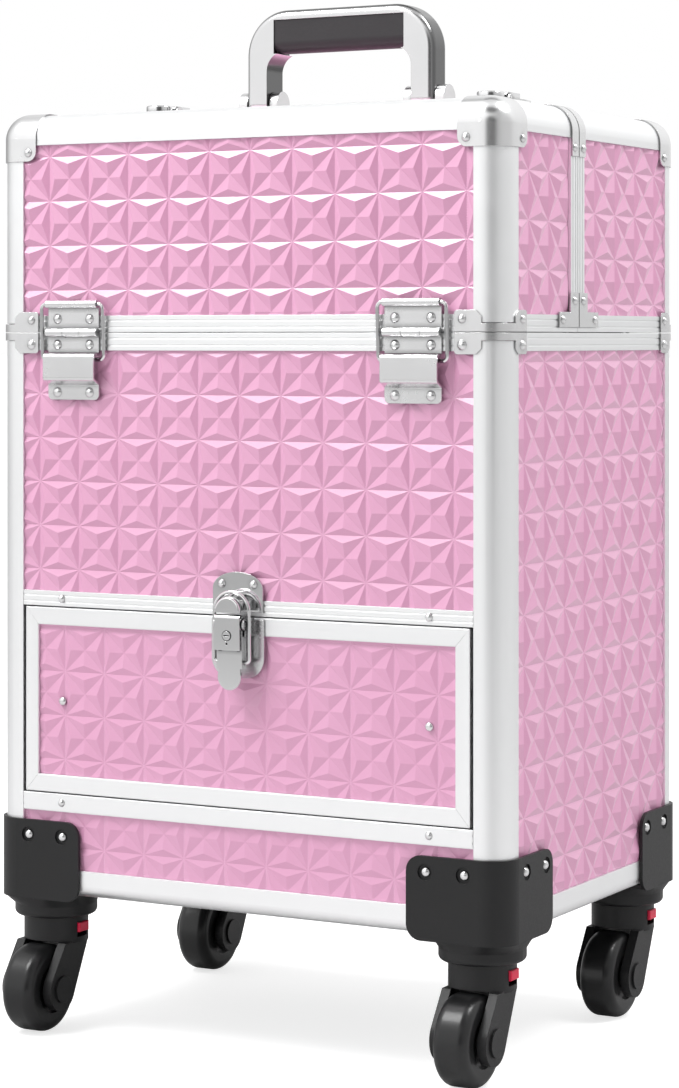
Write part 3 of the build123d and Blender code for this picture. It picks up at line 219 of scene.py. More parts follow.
# ------------------------------------------------------------------ materials
ALUMINIUM = (0.93, 0.935, 0.94)
# Painted shade in crevices and where parts meet: how far it reaches, how fast it fades, and how dark it gets as a
# share of the tint.
PAINTED_SHADE_REACH = 3.5 * MM
PAINTED_SHADE_FALLOFF = 1.6
PAINTED_SHADE_TINT = 0.1
# Painted reflection of a dark room on rounded edges: how dark it gets, as a share of the tint.
DARK_REFLECTION_TINT = 0.22


def vinyl(name, pale, deep):
    """Pearly embossed vinyl: a soft sheen, a slow drift of colour and a fine grain."""
    material, tree, shader = new_material(name)
    tree.links.new(colour_between(tree, noise(tree, 14, 2), pale, deep), shader.inputs["Base Color"])
    tree.links.new(scaled(tree, noise(tree, 900, 2), 0.26, 0.38), shader.inputs["Roughness"])
    set_inputs(shader, Specular_IOR_Level=0.7, Coat_Weight=0.45, Coat_Roughness=0.22)
    set_inputs(shader, Sheen_Weight=0.25, Sheen_Roughness=0.4)
    bumped(tree, shader, noise(tree, 1500, 3), 0.04 * MM, 0.6)
    return material


def extrusion(name, stretch):
    """Satin anodised aluminium with faint drawing lines along the profile, which stretch sets."""
    material, tree, shader = new_material(name)
    lines = noise(tree, 1.0, 3, stretch)
    clouds = colour_between(tree, noise(tree, 9, 2), ALUMINIUM, times(ALUMINIUM, 1.04))
    tree.links.new(clouds, shader.inputs["Base Color"])
    set_inputs(shader, Metallic=1.0)
    tree.links.new(scaled(tree, lines, 0.34, 0.5), shader.inputs["Roughness"])
    bumped(tree, shader, lines, 0.03 * MM, 0.5, edge=0.35 * MM)
    return material


def plated(name, tint, low, high):
    """Plated or uncoated sheet steel: a fine uneven polish between two roughnesses, and painted shade that darkens
    the base colour in crevices and where parts meet.
    """
    material, tree, shader = new_material(name)
    polish = noise(tree, 700, 3)
    smear = noise(tree, 30, 3)
    surface_colour = colour_between(tree, smear, times(tint, 0.86), tint)
    # Painted shade: ambient occlusion darkens the base colour in crevices and where parts meet.
    occlusion = tree.nodes.new("ShaderNodeAmbientOcclusion")
    occlusion.samples = 6
    set_inputs(occlusion, Distance=PAINTED_SHADE_REACH)
    tree.links.new(surface_colour, occlusion.inputs["Color"])
    unshaded_share = math_node(tree, "POWER", occlusion.outputs["AO"], PAINTED_SHADE_FALLOFF)
    tree.links.new(colour_between(tree, unshaded_share, times(tint, PAINTED_SHADE_TINT), surface_colour), shader.inputs["Base Color"])
    set_inputs(shader, Metallic=1.0)
    tree.links.new(scaled(tree, math_node(tree, "MULTIPLY", polish, smear), low, high), shader.inputs["Roughness"])
    bumped(tree, shader, polish, 0.02 * MM, 0.4, edge=0.3 * MM)
    return material


def painted_dark_reflection(name, tint):
    """Polished metal with a painted reflection of a dark room on its rounded edges: the base colour is darker where
    the surface turns up or sideways.
    """
    material = plated(name, tint, 0.16, 0.3)
    tree = material.node_tree
    shader = tree.nodes["Principled BSDF"]
    split = tree.nodes.new("ShaderNodeSeparateXYZ")
    tree.links.new(tree.nodes.new("ShaderNodeTexCoord").outputs["Normal"], split.inputs["Vector"])
    sideways = math_node(tree, "ABSOLUTE", split.outputs["X"])
    steep = math_node(tree, "MAXIMUM", sideways, split.outputs["Z"])
    surface_colour = shader.inputs["Base Color"].links[0].from_socket
    # Painted reflection: the base colour darkens where the object-space normal points up or sideways.
    edged = colour_between(tree, soft_step(tree, steep, 0.35, 0.85), surface_colour, times(tint, DARK_REFLECTION_TINT))
    tree.links.new(edged, shader.inputs["Base Color"])
    return material


def moulded(name, tint, low, high, grain=1100, depth=0.05 * MM, coat=0.0, edge=0.4 * MM):
    """Injection-moulded plastic with a fine spark-eroded texture between two roughnesses."""
    material, tree, shader = new_material(name)
    clouds = colour_between(tree, noise(tree, 22, 3), tint, times(tint, 1.35, 0.002))
    tree.links.new(clouds, shader.inputs["Base Color"])
    texture = noise(tree, grain, 2)
    tree.links.new(scaled(tree, texture, low, high), shader.inputs["Roughness"])
    set_inputs(shader, Specular_IOR_Level=0.4, Coat_Weight=coat, Coat_Roughness=0.12)
    bumped(tree, shader, texture, depth, 0.7, edge=edge)
    return material


def woven(name, tint, thread_width=0.45 * MM):
    """Plain-woven lining cloth."""
    material, tree, shader = new_material(name)
    scale = 1.0 / thread_width / 3
    weave = math_node(tree, "MAXIMUM", wave(tree, scale, "X"), wave(tree, scale, "Y"))
    weave = math_node(tree, "ADD", weave, math_node(tree, "MULTIPLY", wave(tree, scale, "Z"), 0.5))
    clouds = colour_between(tree, noise(tree, 40, 4), tint, times(tint, 2.0, 0.004))
    tree.links.new(clouds, shader.inputs["Base Color"])
    set_inputs(shader, Roughness=0.85, Sheen_Weight=0.5)
    bumped(tree, shader, weave, 0.1 * MM, 0.8)
    return material


pink = vinyl("pink_vinyl_skin", (0.745, 0.372, 0.56), (0.715, 0.33, 0.515))
stitching = vinyl("pink_stitch", (0.9, 0.55, 0.74), (0.86, 0.5, 0.7))
upright_metal = extrusion("aluminium_upright", (600, 600, 4))
level_metal = extrusion("aluminium_level", (4, 4, 900))
mixed_metal = extrusion("aluminium_lid", (60, 60, 60))
handle_metal = painted_dark_reflection("handle_plate", (0.74, 0.74, 0.745))
polished = plated("polished_plate", (0.86, 0.86, 0.865), 0.2, 0.36)
chrome = plated("chrome_plate", (0.9, 0.9, 0.905), 0.03, 0.12)
satin_steel = plated("satin_steel_plate", (0.84, 0.84, 0.845), 0.2, 0.42)
black_nylon = moulded("black_nylon_moulding", (0.006, 0.006, 0.0065), 0.36, 0.52)
wheel_black = moulded("wheel_black", (0.007, 0.007, 0.0075), 0.3, 0.37, depth=0.004 * MM, coat=0.15)
red_plastic = moulded("red_button_plastic", (0.6, 0.008, 0.05), 0.3, 0.4)
grip_black = moulded("grip_black_rubber", (0.026, 0.026, 0.027), 0.42, 0.6, grain=500, depth=0.12 * MM)
lining = woven("dark_lining_cloth", (0.02, 0.02, 0.022))
thread = woven("lining_thread", (0.05, 0.05, 0.053), 0.2 * MM)
tray_plastic = moulded("tray_moulding", (0.016, 0.016, 0.017), 0.34, 0.5, grain=700, edge=0.8 * MM)


def dress(material, *names):
    """Gives CAD nodes their material."""
    for name in names:
        mesh = nodes[name].data
        mesh.materials.clear()
        mesh.materials.append(material)


CORNERS = [f"{depth}_{width}" for depth in ("front", "rear") for width in ("left", "right")]
dress(pink, "front_panels", "side_panels", "rear_panel", "front_lid_panels", "rear_lid_panels", "drawer_front")
dress(upright_metal, "corner_posts", "trolley_outer_tubes", "trolley_middle_tubes", "trolley_inner_tubes")
dress(level_metal, "body_rails", "drawer_frame")
dress(mixed_metal, "front_lid_frame", "rear_lid_frame")
dress(handle_metal, "carry_handle")
dress(polished, "front_lid_caps", "rear_lid_caps", "body_brackets_and_rivets", "front_lid_brackets_and_rivets",
      "rear_lid_brackets_and_rivets", "carry_handle_lugs", "socket_screws")
dress(chrome, "front_stay_bails", "rear_stay_bails", "drawer_latch_bail", "drawer_latch_lever",
      "drawer_latch_keeper", "top_latch_keepers", "left_top_latch_lever", "left_top_latch_bail",
      "right_top_latch_lever", "right_top_latch_bail")
dress(satin_steel, "body_hinge_leaves_and_straps", "front_hinge_leaves", "rear_hinge_leaves", "hinge_pins",
      "drawer_latch_base", "top_latch_bases", "case_runners", "drawer_runners")
dress(black_nylon, "corner_sockets", "trolley_brackets", *(f"{c}_caster_fork" for c in CORNERS))
dress(wheel_black, *(f"{c}_wheel" for c in CORNERS))
dress(red_plastic, "trolley_button", *(f"{c}_release_tab" for c in CORNERS))
dress(grip_black, "carry_handle_grip", "trolley_grip")
dress(lining, "drawer_box", "floor_panels")
dress(tray_plastic, "lift_out_tray")


# ------------------------------------------------------------------ mesh helpers
UNDERSIDE = 0.01 * MM
STITCH_SIDES = 6


def object_from(mesh, name, materials):
    data = bpy.data.meshes.new(name)
    mesh.to_mesh(data)
    mesh.free()
    for material in materials:
        data.materials.append(material)
    piece = bpy.data.objects.new(name, data)
    bpy.context.scene.collection.objects.link(piece)
    return piece


def make_piece(mesh, name, materials, body):
    """A piece that rides a body, with the materials given."""
    piece = object_from(mesh, name, materials)
    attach(piece, body)
    return piece


def turn_outward(mesh):
    bmesh.ops.recalc_face_normals(mesh, faces=mesh.faces[:])


def place(mesh, corner, across, up):
    """Moves a mesh drawn in (across, up, out) into the frame."""
    out = across.cross(up)
    for vert in mesh.verts:
        a, u, o = vert.co
        vert.co = corner + across * a + up * u + out * o


def opening(low, high, across, up, gap):
    """The starting corner, width and height of a flat opening between two corners, less a gap all round."""
    first, last = Vector(low), Vector(high)
    corner = Vector(low)
    for way in (across, up):
        start = min((first, last), key=lambda p: p.dot(way))
        for axis in range(3):
            if abs(way[axis]) > 0.5:
                corner[axis] = start[axis]
    width = abs((last - first).dot(across)) - 2 * gap
    height = abs((last - first).dot(up)) - 2 * gap
    return corner + across * gap + up * gap, width, height


def rim_of(mesh):
    """The vertices along an open sheet's rim, in order."""
    edge = next(e for e in mesh.edges if e.is_boundary)
    ring = [edge.verts[0]]
    while True:
        vert = edge.other_vert(ring[-1])
        if vert == ring[0]:
            return ring
        ring.append(vert)
        edge = next(e for e in vert.link_edges if e.is_boundary and e != edge)


def close_below(mesh):
    """Turns an open sheet into a closed one with a flat underside. bmesh's own extrusion isn't in a fixed order."""
    ring = rim_of(mesh)
    under = [mesh.verts.new((v.co.x, v.co.y, UNDERSIDE)) for v in ring]
    for k in range(len(ring)):
        mesh.faces.new((ring[k - 1], ring[k], under[k], under[k - 1])).smooth = True
    mesh.faces.new(under).smooth = True


def add_stitch(mesh, spot, half, foot_level, top_level):
    """A raised stitch in the second material: a low closed pyramid, with half its length and half its width given."""
    foot = []
    for k in range(STITCH_SIDES):
        turn = 2 * math.pi * k / STITCH_SIDES
        corner = (spot[0] + half[0] * math.cos(turn), spot[1] + half[1] * math.sin(turn), foot_level)
        foot.append(mesh.verts.new(corner))
    top = mesh.verts.new((*spot, top_level))
    for k in range(STITCH_SIDES):
        mesh.faces.new((foot[k], foot[(k + 1) % STITCH_SIDES], top)).material_index = 1
    mesh.faces.new(foot[::-1]).material_index = 1


# ------------------------------------------------------------------ quilted vinyl skins
SKIN_WAYS = {"front": (RIGHT, UP), "rear": (-RIGHT, UP), "right": (BACK, UP), "left": (-BACK, UP),
             "top": (RIGHT, BACK)}
SKIN_GAP = 0.1 * MM
LIFT = 0.05 * MM
SOFT_EDGE = 0.45 * MM
RIM_ANGLE = math.radians(55)
STITCH_PITCH = 1.45 * MM
STITCH_RADIUS = 0.42 * MM
STITCH_HEIGHT = 0.42 * MM
STITCH_MARGIN = 1.3 * STITCH_RADIUS
LEVEL, PLUMB = 0, 1


class Stars(NamedTuple):
    """A star pattern: its pitch across and up, the place of one star, the way its stitches run, its relief."""
    pitch: tuple
    node: Vector
    stitched: int = PLUMB
    relief: float = 2.15 * MM


def quilt_facets(mesh, width, height, pitch, node, relief):
    """Covers a rectangle with cells of four raised three-sided pyramids, all creases meeting in stars."""
    corners = {}

    def vert(a, u, h=0.0):
        key = (round(a * 1e7), round(u * 1e7), h > 0)
        if key not in corners:
            corners[key] = mesh.verts.new((a, u, h + LIFT))
        return corners[key]

    columns = range(math.floor(-node[0] / pitch[0]), math.ceil((width - node[0]) / pitch[0]))
    rows = range(math.floor(-node[1] / pitch[1]), math.ceil((height - node[1]) / pitch[1]))
    for i in columns:
        for j in rows:
            a, u = node[0] + i * pitch[0], node[1] + j * pitch[1]
            ring = [(a, u), (a + pitch[0], u), (a + pitch[0], u + pitch[1]), (a, u + pitch[1])]
            middle = (a + pitch[0] / 2, u + pitch[1] / 2)
            for k in range(4):
                base = [ring[k], ring[(k + 1) % 4], middle]
                apex = vert(sum(p[0] for p in base) / 3, sum(p[1] for p in base) / 3, relief)
                for n in range(3):
                    mesh.faces.new((vert(*base[n]), vert(*base[(n + 1) % 3]), apex))


def trim(mesh, width, height):
    """Cuts the pattern at the rectangle's edges."""
    start, end = (0, 0, 0), (width, height, 0)
    for point, outward in ((start, (-1, 0, 0)), (end, (1, 0, 0)), (start, (0, -1, 0)), (end, (0, 1, 0))):
        geometry = mesh.verts[:] + mesh.edges[:] + mesh.faces[:]
        bmesh.ops.bisect_plane(mesh, geom=geometry, dist=1e-7, plane_co=point, plane_no=outward, clear_outer=True)


def add_stitches(mesh, size, pitch, node, along):
    """Small raised stitches along the creases of one direction."""
    side = 1 - along
    first = math.ceil((STITCH_MARGIN - node[side]) / pitch[side])
    last = math.floor((size[side] - STITCH_MARGIN - node[side]) / pitch[side])
    count = int((size[along] - 2 * STITCH_MARGIN) / STITCH_PITCH)
    for line in range(first, last + 1):
        for n in range(count + 1):
            centre = [0.0, 0.0]
            centre[side] = node[side] + line * pitch[side]
            centre[along] = STITCH_MARGIN + n * STITCH_PITCH
            add_stitch(mesh, centre, (STITCH_RADIUS, STITCH_RADIUS), 0.5 * LIFT, STITCH_HEIGHT + LIFT)


def panel_skin(name, body, wall, low, high, stars):
    """An embossed skin on the outside of a wall, between two corners of its opening."""
    across, up = SKIN_WAYS[wall]
    corner, width, height = opening(low, high, across, up, SKIN_GAP)
    node = ((stars.node - corner).dot(across), (stars.node - corner).dot(up))
    mesh = bmesh.new()
    quilt_facets(mesh, width, height, stars.pitch, node, stars.relief)
    bmesh.ops.inset_individual(mesh, faces=mesh.faces[:], thickness=SOFT_EDGE, use_even_offset=True)
    trim(mesh, width, height)
    close_below(mesh)
    add_stitches(mesh, (width, height), stars.pitch, node, stars.stitched)
    turn_outward(mesh)
    place(mesh, corner, across, up)
    for facet in mesh.faces:
        facet.smooth = True
    for edge in mesh.edges:
        edge.smooth = edge.calc_face_angle(0) < RIM_ANGLE
    piece = make_piece(mesh, name, [pink, stitching], body)
    weighted = piece.modifiers.new("weighted_normals", "WEIGHTED_NORMAL")
    weighted.weight = 100
    weighted.keep_sharp = True


def skin_between_posts(name, body, wall, bottom, top, stars):
    """A skin on a front or rear wall, as wide as the opening between the corner posts."""
    y = front_y if wall == "front" else rear_y
    panel_skin(name, body, wall, (-open_x, y, bottom), (open_x, y, top), stars)


FRONT_PITCH = (27.8 * MM, 26.35 * MM)
body_stars = Stars(FRONT_PITCH, Vector((26.8 * MM, front_y, 248.4 * MM)), relief=1.95 * MM)
rear_stars = Stars(FRONT_PITCH, body_stars.node)
drawer_stars = Stars(FRONT_PITCH, Vector((-66.4 * MM, front_y, 108.1 * MM)), relief=1.35 * MM)
strip_stars = Stars(FRONT_PITCH, drawer_stars.node, relief=1.1 * MM)
lid_stars = Stars((27.93 * MM, 26.77 * MM), Vector((-105.2 * MM, front_y, 416.6 * MM)))
side_stars = Stars((27.55 * MM, 28.5 * MM), Vector((side_x, -95.4 * MM, 178.4 * MM)), LEVEL)
lid_side_stars = {
    "front_lid": Stars((27.0 * MM, 28.1 * MM), Vector((side_x, -89.4 * MM, 401.1 * MM)), LEVEL),
    "rear_lid": Stars((30.1 * MM, 26.6 * MM), Vector((side_x, 2.6 * MM, 407.8 * MM)), LEVEL),
}

skin_between_posts("front_strip_skin", "case", "front", bottom_rail[1].z, lower_divider[0].z, strip_stars)
skin_between_posts("front_skin", "case", "front", upper_divider[1].z, seam, body_stars)
skin_between_posts("rear_skin", "case", "rear", rear_bottom_rail[1].z, seam, rear_stars)
panel_skin("drawer_skin", "drawer", "front", (-drawer_high.x + drawer_side, front_y, drawer_low.z + drawer_rail),
           (drawer_high.x - drawer_side, front_y, drawer_high.z - drawer_rail), drawer_stars)
for lid, wall in LIDS.items():
    skin_between_posts(f"{lid}_skin", lid, wall, *lid_room, lid_stars)
for wall, side in SIDES.items():
    x = side * side_x
    panel_skin(f"{wall}_skin", "case", wall, (x, -open_y, rear_bottom_rail[1].z), (x, open_y, seam), side_stars)
    for lid, (front, back) in lid_depth.items():
        panel_skin(f"{lid}_{wall}_skin", lid, wall, (x, front, lid_room[0]), (x, back, lid_room[1]),
                   lid_side_stars[lid])
for lid, (front, back) in lid_depth.items():
    panel_skin(f"{lid}_top_skin", lid, "top", (-open_x, front, lid_top_z), (open_x, back, lid_top_z), lid_stars)


# ------------------------------------------------------------------ flat faces of the drawer frame and lower divider
FACE_INSET = 0.35 * MM
FACE_PROUD = 0.12 * MM
FACE_SUNK = 0.02 * MM
MITRE_SHRINK = 0.9994


def add_face_plate(mesh, y, ring, index=0):
    """A thin closed plate on a bar's front face, from its outline in x and z, in a material by its index."""
    middle_x = sum(x for x, z in ring) / len(ring)
    middle_z = sum(z for x, z in ring) / len(ring)
    ring = [(middle_x + (x - middle_x) * MITRE_SHRINK, middle_z + (z - middle_z) * MITRE_SHRINK) for x, z in ring]
    front = [mesh.verts.new((x, y - FACE_PROUD, z)) for x, z in ring]
    back = [mesh.verts.new((x, y + FACE_SUNK, z)) for x, z in ring]
    mesh.faces.new(front).material_index = index
    mesh.faces.new(back[::-1]).material_index = index
    for k in range(len(ring)):
        n = (k + 1) % len(ring)
        mesh.faces.new((front[n], front[k], back[k], back[n])).material_index = index


def rectangle(low, high, inset_x, inset_z):
    x0, x1 = low.x + inset_x, high.x - inset_x
    z0, z1 = low.z + inset_z, high.z - inset_z
    return [(x0, z0), (x1, z0), (x1, z1), (x0, z1)]


def drawer_frame_faces():
    """Four mitred plates: the level bars in the first material, the uprights in the second."""
    outer = rectangle(drawer_low, drawer_high, FACE_INSET, FACE_INSET)
    inner = rectangle(drawer_low, drawer_high, drawer_side - FACE_INSET, drawer_rail - FACE_INSET)
    mesh = bmesh.new()
    for k in range(4):
        n = (k + 1) % 4
        add_face_plate(mesh, drawer_low.y, (outer[k], outer[n], inner[n], inner[k]), k % 2)
    turn_outward(mesh)
    make_piece(mesh, "drawer_frame_faces", [level_metal, upright_metal], "drawer")


def lower_divider_face():
    low, high = lower_divider
    mesh = bmesh.new()
    add_face_plate(mesh, low.y, rectangle(low, high, FACE_INSET, FACE_INSET))
    turn_outward(mesh)
    make_piece(mesh, "lower_divider_face", [level_metal], "case")


drawer_frame_faces()
lower_divider_face()


# ------------------------------------------------------------------ rivets through the drawer front
RIVET_RADIUS = 2.5 * MM
RIVET_RISE = 1.3 * MM
RIVET_X = 123.2 * MM
RIVET_Z = 116.7 * MM
RIVET_SIDES = 28
RIVET_PROFILE = [(1.0, -0.3), (1.0, 0.12), (0.94, 0.34), (0.8, 0.6), (0.56, 0.83), (0.28, 0.96)]


def domed_head(mesh, centre):
    """A rivet head facing the front: a short rim under a dome. The profile is in shares of radius and rise."""
    rings = []
    for share, level in RIVET_PROFILE:
        ring = []
        for k in range(RIVET_SIDES):
            turn = 2 * math.pi * k / RIVET_SIDES
            reach = share * RIVET_RADIUS
            spot = Vector((reach * math.cos(turn), -level * RIVET_RISE, reach * math.sin(turn)))
            ring.append(mesh.verts.new(centre + spot))
        rings.append(ring)
    top = mesh.verts.new(centre - BACK * RIVET_RISE)
    for lower, upper in zip(rings, rings[1:]):
        for k in range(RIVET_SIDES):
            n = (k + 1) % RIVET_SIDES
            mesh.faces.new((lower[k], lower[n], upper[n], upper[k]))
    for k in range(RIVET_SIDES):
        mesh.faces.new((rings[-1][k], rings[-1][(k + 1) % RIVET_SIDES], top))
    mesh.faces.new(rings[0][::-1])


def drawer_front_rivets():
    mesh = bmesh.new()
    for x in (-RIVET_X, RIVET_X):
        domed_head(mesh, Vector((x, front_y - drawer_stars.relief, RIVET_Z)))
    turn_outward(mesh)
    for facet in mesh.faces:
        facet.smooth = len(facet.verts) < RIVET_SIDES
    make_piece(mesh, "drawer_front_rivets", [polished], "drawer")


drawer_front_rivets()


# ------------------------------------------------------------------ padded linings
PAD_WAYS = {"front": (-RIGHT, UP), "rear": (RIGHT, UP), "right": (-BACK, UP), "left": (BACK, UP),
            "ceiling": (RIGHT, -BACK), "floor": (RIGHT, BACK)}
PAD_GAP = 0.4 * MM
PAD_THICK = 3.2 * MM
PAD_BORDER = 12.0 * MM
PAD_SEAM = 5.6 * MM
SEAM_HALF = 1.3 * MM
THREAD_PITCH = 3.4 * MM
THREAD_HALF = (1.1 * MM, 0.3 * MM)
THREAD_SUNK = 0.05 * MM
THREAD_PROUD = 0.28 * MM
EDGE_SHARE, SWELL_SHARE, GROOVE_SHARE, UNEVEN_SHARE = 0.42, 0.53, 0.26, 0.05
UNEVEN_A, UNEVEN_U = 13 * MM, 11 * MM
GRID_STEP = 8 * MM
GRID_NEAR_EDGE = [d * MM for d in (0, 0.6, 1.5, 2.8, 4.3, 5.0, 5.6, 6.2, 6.9, 8.6, 10.4, 12.2)]


def pad_height(a, u, width, height, thick):
    """A cushion's crown: thin at its edge, a sewn groove near it, and a slightly uneven middle."""
    edge = max(0.0, min(a, width - a, u, height - u))
    rise = min(1.0, edge / PAD_BORDER)
    swell = rise * rise * (3 - 2 * rise)
    groove = max(0.0, 1.0 - abs(edge - PAD_SEAM) / SEAM_HALF)
    uneven = UNEVEN_SHARE * swell * math.sin(a / UNEVEN_A) * math.cos(u / UNEVEN_U)
    return thick * (EDGE_SHARE + SWELL_SHARE * swell - GROOVE_SHARE * groove + uneven)


def pad_lines(length):
    """Grid positions: close together near both edges, wider in the middle."""
    border = GRID_NEAR_EDGE[-1]
    count = max(1, round((length - 2 * border) / GRID_STEP))
    step = (length - 2 * border) / count
    middle = [border + step * n for n in range(1, count)]
    return GRID_NEAR_EDGE + middle + [length - d for d in reversed(GRID_NEAR_EDGE)]


def sew(mesh, size, thick):
    """Thread showing as short raised stitches along the groove."""
    for along, across in ((0, 1), (1, 0)):
        run = size[along] - 2 * PAD_SEAM
        count = int(run / THREAD_PITCH)
        half = THREAD_HALF if along == 0 else THREAD_HALF[::-1]
        for n in range(count):
            for side in (PAD_SEAM, size[across] - PAD_SEAM):
                spot = [side, side]
                spot[along] = PAD_SEAM + (n + 0.5) * run / count
                level = pad_height(*spot, *size, thick)
                add_stitch(mesh, spot, half, level - THREAD_SUNK, level + THREAD_PROUD)


def padded_lining(name, body, wall, low, high, thick=PAD_THICK):
    """A crowned, sewn cloth pad on the inside of a wall, between two corners."""
    across, up = PAD_WAYS[wall]
    corner, width, height = opening(low, high, across, up, PAD_GAP)
    columns, rows = pad_lines(width), pad_lines(height)
    mesh = bmesh.new()
    grid = [[mesh.verts.new((a, u, pad_height(a, u, width, height, thick))) for u in rows] for a in columns]
    for i in range(len(columns) - 1):
        for j in range(len(rows) - 1):
            ring = (grid[i][j], grid[i + 1][j], grid[i + 1][j + 1], grid[i][j + 1])
            mesh.faces.new(ring).smooth = True
    close_below(mesh)
    sew(mesh, (width, height), thick)
    turn_outward(mesh)
    place(mesh, corner, across, up)
    make_piece(mesh, name, [lining, thread], body)


BASE_BOARD = 5.0 * MM
BAY_THICK = 1.4 * MM
UNDER_RUNNER = 2 * MM
board = rear_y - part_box("rear_panel")[0].y
inner_x = side_x - board
inner_y = rear_y - board
ceiling = lid_top_z - board
base_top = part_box("floor_panels")[0].z + BASE_BOARD
shelf_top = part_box("floor_panels")[1].z
upper_room = (upper_divider[1].z, seam)
lower_room = (rear_bottom_rail[1].z, upper_divider[0].z)
below_runners = (lower_room[0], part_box("case_runners")[0].z - UNDER_RUNNER)


def side_lining(name, body, wall, depth, room, thick=PAD_THICK):
    """A lining on a side wall, between two depths and two heights."""
    x = SIDES[wall] * inner_x
    padded_lining(name, body, wall, (x, depth[0], room[0]), (x, depth[1], room[1]), thick)


def lining_between_posts(name, body, wall, room, thick=PAD_THICK):
    """A lining on a front or rear wall, between two heights."""
    y = -inner_y if wall == "front" else inner_y
    padded_lining(name, body, wall, (-open_x, y, room[0]), (open_x, y, room[1]), thick)


for wall in SIDES:
    side_lining(f"{wall}_lining", "case", wall, (-open_y, open_y), upper_room)
    side_lining(f"bay_{wall}_lining", "case", wall, (-open_y, open_y), below_runners, BAY_THICK)
    for lid in LIDS:
        side_lining(f"{lid}_{wall}_lining", lid, wall, lid_depth[lid], lid_room)
lining_between_posts("front_lining", "case", "front", upper_room)
lining_between_posts("rear_lining", "case", "rear", upper_room)
lining_between_posts("bay_rear_lining", "case", "rear", lower_room, BAY_THICK)
padded_lining("bay_floor_lining", "case", "floor", (-open_x, -open_y, base_top), (open_x, open_y, base_top))
for lid, wall in LIDS.items():
    lining_between_posts(f"{lid}_wall_lining", lid, wall, lid_room)
for lid, (front, back) in lid_depth.items():
    padded_lining(f"{lid}_top_lining", lid, "ceiling", (-open_x, front, ceiling), (open_x, back, ceiling))

TRAY_LEG = 16.0 * MM
TRAY_WALL = 2.5 * MM
TRAY_DEPTH = 57.5 * MM
TRAY_PAD_THICK = 2.4 * MM
DIVIDER_X = 52 * MM
DIVIDER_HALF = 1.0 * MM
tray_low, tray_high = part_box("lift_out_tray")
tray_floor = tray_high.z - TRAY_DEPTH
tray_columns = (tray_low.x + TRAY_WALL, -DIVIDER_X, DIVIDER_X, tray_high.x - TRAY_WALL)
tray_rows = (tray_low.y + TRAY_WALL, 0, tray_high.y - TRAY_WALL)

padded_lining("shelf_lining", "case", "floor", (tray_low.x + TRAY_LEG, tray_low.y, shelf_top),
              (tray_high.x - TRAY_LEG, tray_high.y, shelf_top))
for i in range(3):
    for j in range(2):
        low = (tray_columns[i] + DIVIDER_HALF, tray_rows[j] + DIVIDER_HALF, tray_floor)
        high = (tray_columns[i + 1] - DIVIDER_HALF, tray_rows[j + 1] - DIVIDER_HALF, tray_floor)
        padded_lining(f"tray_lining_{i + 1}_{j + 1}", "tray", "floor", low, high, TRAY_PAD_THICK)

BOX_WALL = 4.0 * MM
BOX_RIM = 2 * MM
BOX_GAP = 2 * MM
BOX_FLOOR_THICK = 2.6 * MM
BOX_WALL_THICK = 1.8 * MM
box_low, box_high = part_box("drawer_box")
box_x, box_top = box_high.x - BOX_WALL, box_high.z - BOX_RIM
box_front, box_back, box_floor = box_low.y + BOX_WALL, box_high.y - BOX_WALL, box_low.z + BOX_WALL

padded_lining("drawer_floor_lining", "drawer", "floor", (-box_x + BOX_GAP, box_front + BOX_GAP, box_floor),
              (box_x - BOX_GAP, box_back - BOX_GAP, box_floor), BOX_FLOOR_THICK)
for wall, y in (("front", box_front), ("rear", box_back)):
    padded_lining(f"drawer_{wall}_lining", "drawer", wall, (-box_x, y, box_floor), (box_x, y, box_top),
                  BOX_WALL_THICK)
for wall, side in SIDES.items():
    padded_lining(f"drawer_{wall}_lining", "drawer", wall, (side * box_x, box_front + BOX_GAP, box_floor),
                  (side * box_x, box_back - BOX_GAP, box_top), BOX_WALL_THICK)


# ------------------------------------------------------------------ stage, light and camera
# Directions are azimuth and elevation in degrees: azimuth 0 is in front of the case, positive to its right.
FLOOR_HALF = 60.0
FLOOR_GLOW = 0.7
AIM = Vector((0, 0, 0.22))
# azimuth, elevation, distance, width, height, watts
SOFT_BOXES = {
    "key": (-36, 52, 1.9, 0.8, 0.7, 23),
    "top": (20, 84, 1.7, 1.4, 1.2, 4),
    "right": (104, 56, 2.0, 0.7, 0.7, 21),
}
ROOM_LIGHT = 0.4
# azimuth, elevation, cosine of the angle where it starts, cosine where it is full, amount
BRIGHT_WALLS = ((-30, 22, 0.1, 0.93, 0.78), (172, 40, 0.35, 0.97, 0.62), (96, 5, 0.55, 0.97, 0.3))
DARK_CARDS = ((24, 6, 0.88, 0.985, 0.86), (206, 76, 0.88, 0.98, 0.86), (24, 60, 0.88, 0.98, 0.86))
CAMERA_PLACE = (0.877, -1.6112, 0.3337)
CAMERA_TURN = math.radians(28.617)
CAMERA_LENS = 98.41
CAMERA_SHIFT = -0.188


def floor_material():
    """Pale grey that the camera sees brighter than it lights the case."""
    material, tree, shader = new_material("pale_floor")
    clouds = colour_between(tree, noise(tree, 3, 2), (0.58, 0.58, 0.58), (0.6, 0.6, 0.6))
    tree.links.new(clouds, shader.inputs["Base Color"])
    set_inputs(shader, Roughness=0.8, Emission_Color=(1, 1, 1, 1))
    eye = tree.nodes.new("ShaderNodeLightPath")
    brighter = math_node(tree, "MULTIPLY", eye.outputs["Is Camera Ray"], FLOOR_GLOW)
    tree.links.new(brighter, shader.inputs["Emission Strength"])
    return material


def floor():
    ground = min(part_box(f"{c}_wheel")[0].z for c in CORNERS)
    mesh = bmesh.new()
    spots = [(-1, -1), (1, -1), (1, 1), (-1, 1)]
    mesh.faces.new([mesh.verts.new((x * FLOOR_HALF, y * FLOOR_HALF, ground)) for x, y in spots])
    object_from(mesh, "floor", [floor_material()])


def direction(azimuth, elevation):
    """The unit vector of a direction."""
    a, e = math.radians(azimuth), math.radians(elevation)
    return Vector((math.sin(a) * math.cos(e), -math.cos(a) * math.cos(e), math.sin(e)))


